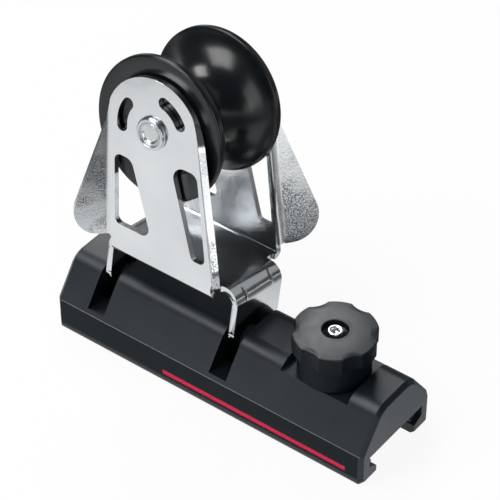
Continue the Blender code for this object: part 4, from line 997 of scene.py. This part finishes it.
def floor():
    """White floor that the camera sees as near white, with the car's soft shadow kept.

    In the metal it shows white too, in an oval patch before the car, then a dim ring and a paler far end.
    """
    corners = np.array([[-1, -1, 0], [1, -1, 0], [1, 1, 0], [-1, 1, 0]])
    mesh = filled("floor", FLOOR_HALF * corners, [[0, 1, 2, 3]], False)
    item = bpy.data.objects.new("floor", mesh)
    bpy.context.scene.collection.objects.link(item)
    paint = Paint("white_floor", FLOOR_WHITE, FLOOR_ROUGH)
    paint.shader.inputs["Specular IOR Level"].default_value = 0.1
    path = paint.node("ShaderNodeLightPath")
    patch = paint.node("ShaderNodeMapping")
    patch.inputs["Scale"].default_value = (1.0 / PATCH_HALF[0], 1.0 / PATCH_HALF[1], 1.0)
    patch.inputs["Location"].default_value = (-PATCH[0] / PATCH_HALF[0], -PATCH[1] / PATCH_HALF[1], 0.0)
    paint.link(paint.place, patch.inputs["Vector"])
    away = paint.node("ShaderNodeVectorMath", operation="LENGTH")
    paint.link(patch.outputs["Vector"], away.inputs[0])
    fall = paint.spread(away.outputs["Value"], 0.0, 1.0 - FLOOR_DIM, *FLOOR_FALL)
    loss = paint.sum(fall, paint.spread(away.outputs["Value"], 0.0, FLOOR_LIFT, *FLOOR_RISE), "SUBTRACT")
    level = paint.sum(1.0, paint.sum(path.outputs["Is Glossy Ray"], loss, "MULTIPLY"), "SUBTRACT")
    glow = paint.node("ShaderNodeEmission")
    paint.link(level, glow.inputs["Strength"])
    tint = paint.node("ShaderNodeVectorMath", operation="SCALE")
    tint.inputs[0].default_value = FLOOR_WHITE
    paint.link(level, tint.inputs["Scale"])
    paint.link(tint.outputs["Vector"], paint.shader.inputs["Base Color"])
    seen = paint.sum(path.outputs["Is Camera Ray"], path.outputs["Is Glossy Ray"], "MAXIMUM")
    mix = paint.node("ShaderNodeMixShader")
    paint.link(paint.sum(seen, FLOOR_GLOW, "MULTIPLY"), mix.inputs["Fac"])
    paint.link(paint.shader.outputs["BSDF"], mix.inputs[1])
    paint.link(glow.outputs["Emission"], mix.inputs[2])
    paint.link(mix.outputs["Shader"], paint.tree.nodes["Material Output"].inputs["Surface"])
    mesh.materials.append(paint.material)


def sky():
    """World: white to the camera, dim to reflections and to plain light."""
    world = bpy.data.worlds.new("studio")
    bpy.context.scene.world = world
    world.use_nodes = True
    tree = world.node_tree
    back = tree.nodes["Background"]
    back.inputs["Color"].default_value = SKY_WHITE
    path = tree.nodes.new("ShaderNodeLightPath")
    level = tree.nodes.new("ShaderNodeMapRange")
    level.inputs["To Min"].default_value = SKY_DIM
    level.inputs["To Max"].default_value = 1.0
    tree.links.new(path.outputs["Is Camera Ray"], level.inputs["Value"])
    tree.links.new(level.outputs["Result"], back.inputs["Strength"])


def lamp(name, toward, distance, size, level):
    """A square soft box in a direction from the car, at a distance in metres, facing it.

    Its power is four times its area times the brightness that it shows in a mirror.
    """
    light = bpy.data.lights.new(name, "AREA")
    light.shape = "SQUARE"
    light.size = size
    light.energy = 4.0 * size * size * level
    item = bpy.data.objects.new(name, light)
    bpy.context.scene.collection.objects.link(item)
    toward = Vector(toward).normalized()
    item.location = LAMP_AIM + toward * distance
    item.rotation_euler = (-toward).to_track_quat("-Z", "Y").to_euler()


def camera():
    """Camera fitted to the photograph: 37 degrees round, 41 degrees up, a long lens."""
    flat = math.cos(VIEW_UP)
    back = Vector((math.sin(VIEW_ROUND) * flat, -math.cos(VIEW_ROUND) * flat, math.sin(VIEW_UP)))
    right = Vector((math.cos(VIEW_ROUND), math.sin(VIEW_ROUND), 0.0))
    up = back.cross(right)
    pose = Matrix((right, up, back)).transposed().to_4x4()
    pose.translation = (back * VIEW_AWAY - right * VIEW_SHIFT[0] - up * VIEW_SHIFT[1]) * MM
    lens = bpy.data.cameras.new("camera")
    lens.sensor_width = SENSOR
    lens.lens = FOCAL_PIXELS / PHOTO_PIXELS * SENSOR
    lens.clip_start = CLIP_START
    item = bpy.data.objects.new("camera", lens)
    bpy.context.scene.collection.objects.link(item)
    item.matrix_world = pose
    bpy.context.scene.camera = item


floor()
sky()
for lamp_row in LAMPS:
    lamp(*lamp_row)
camera()
bpy.context.scene.view_settings.view_transform = "Standard"
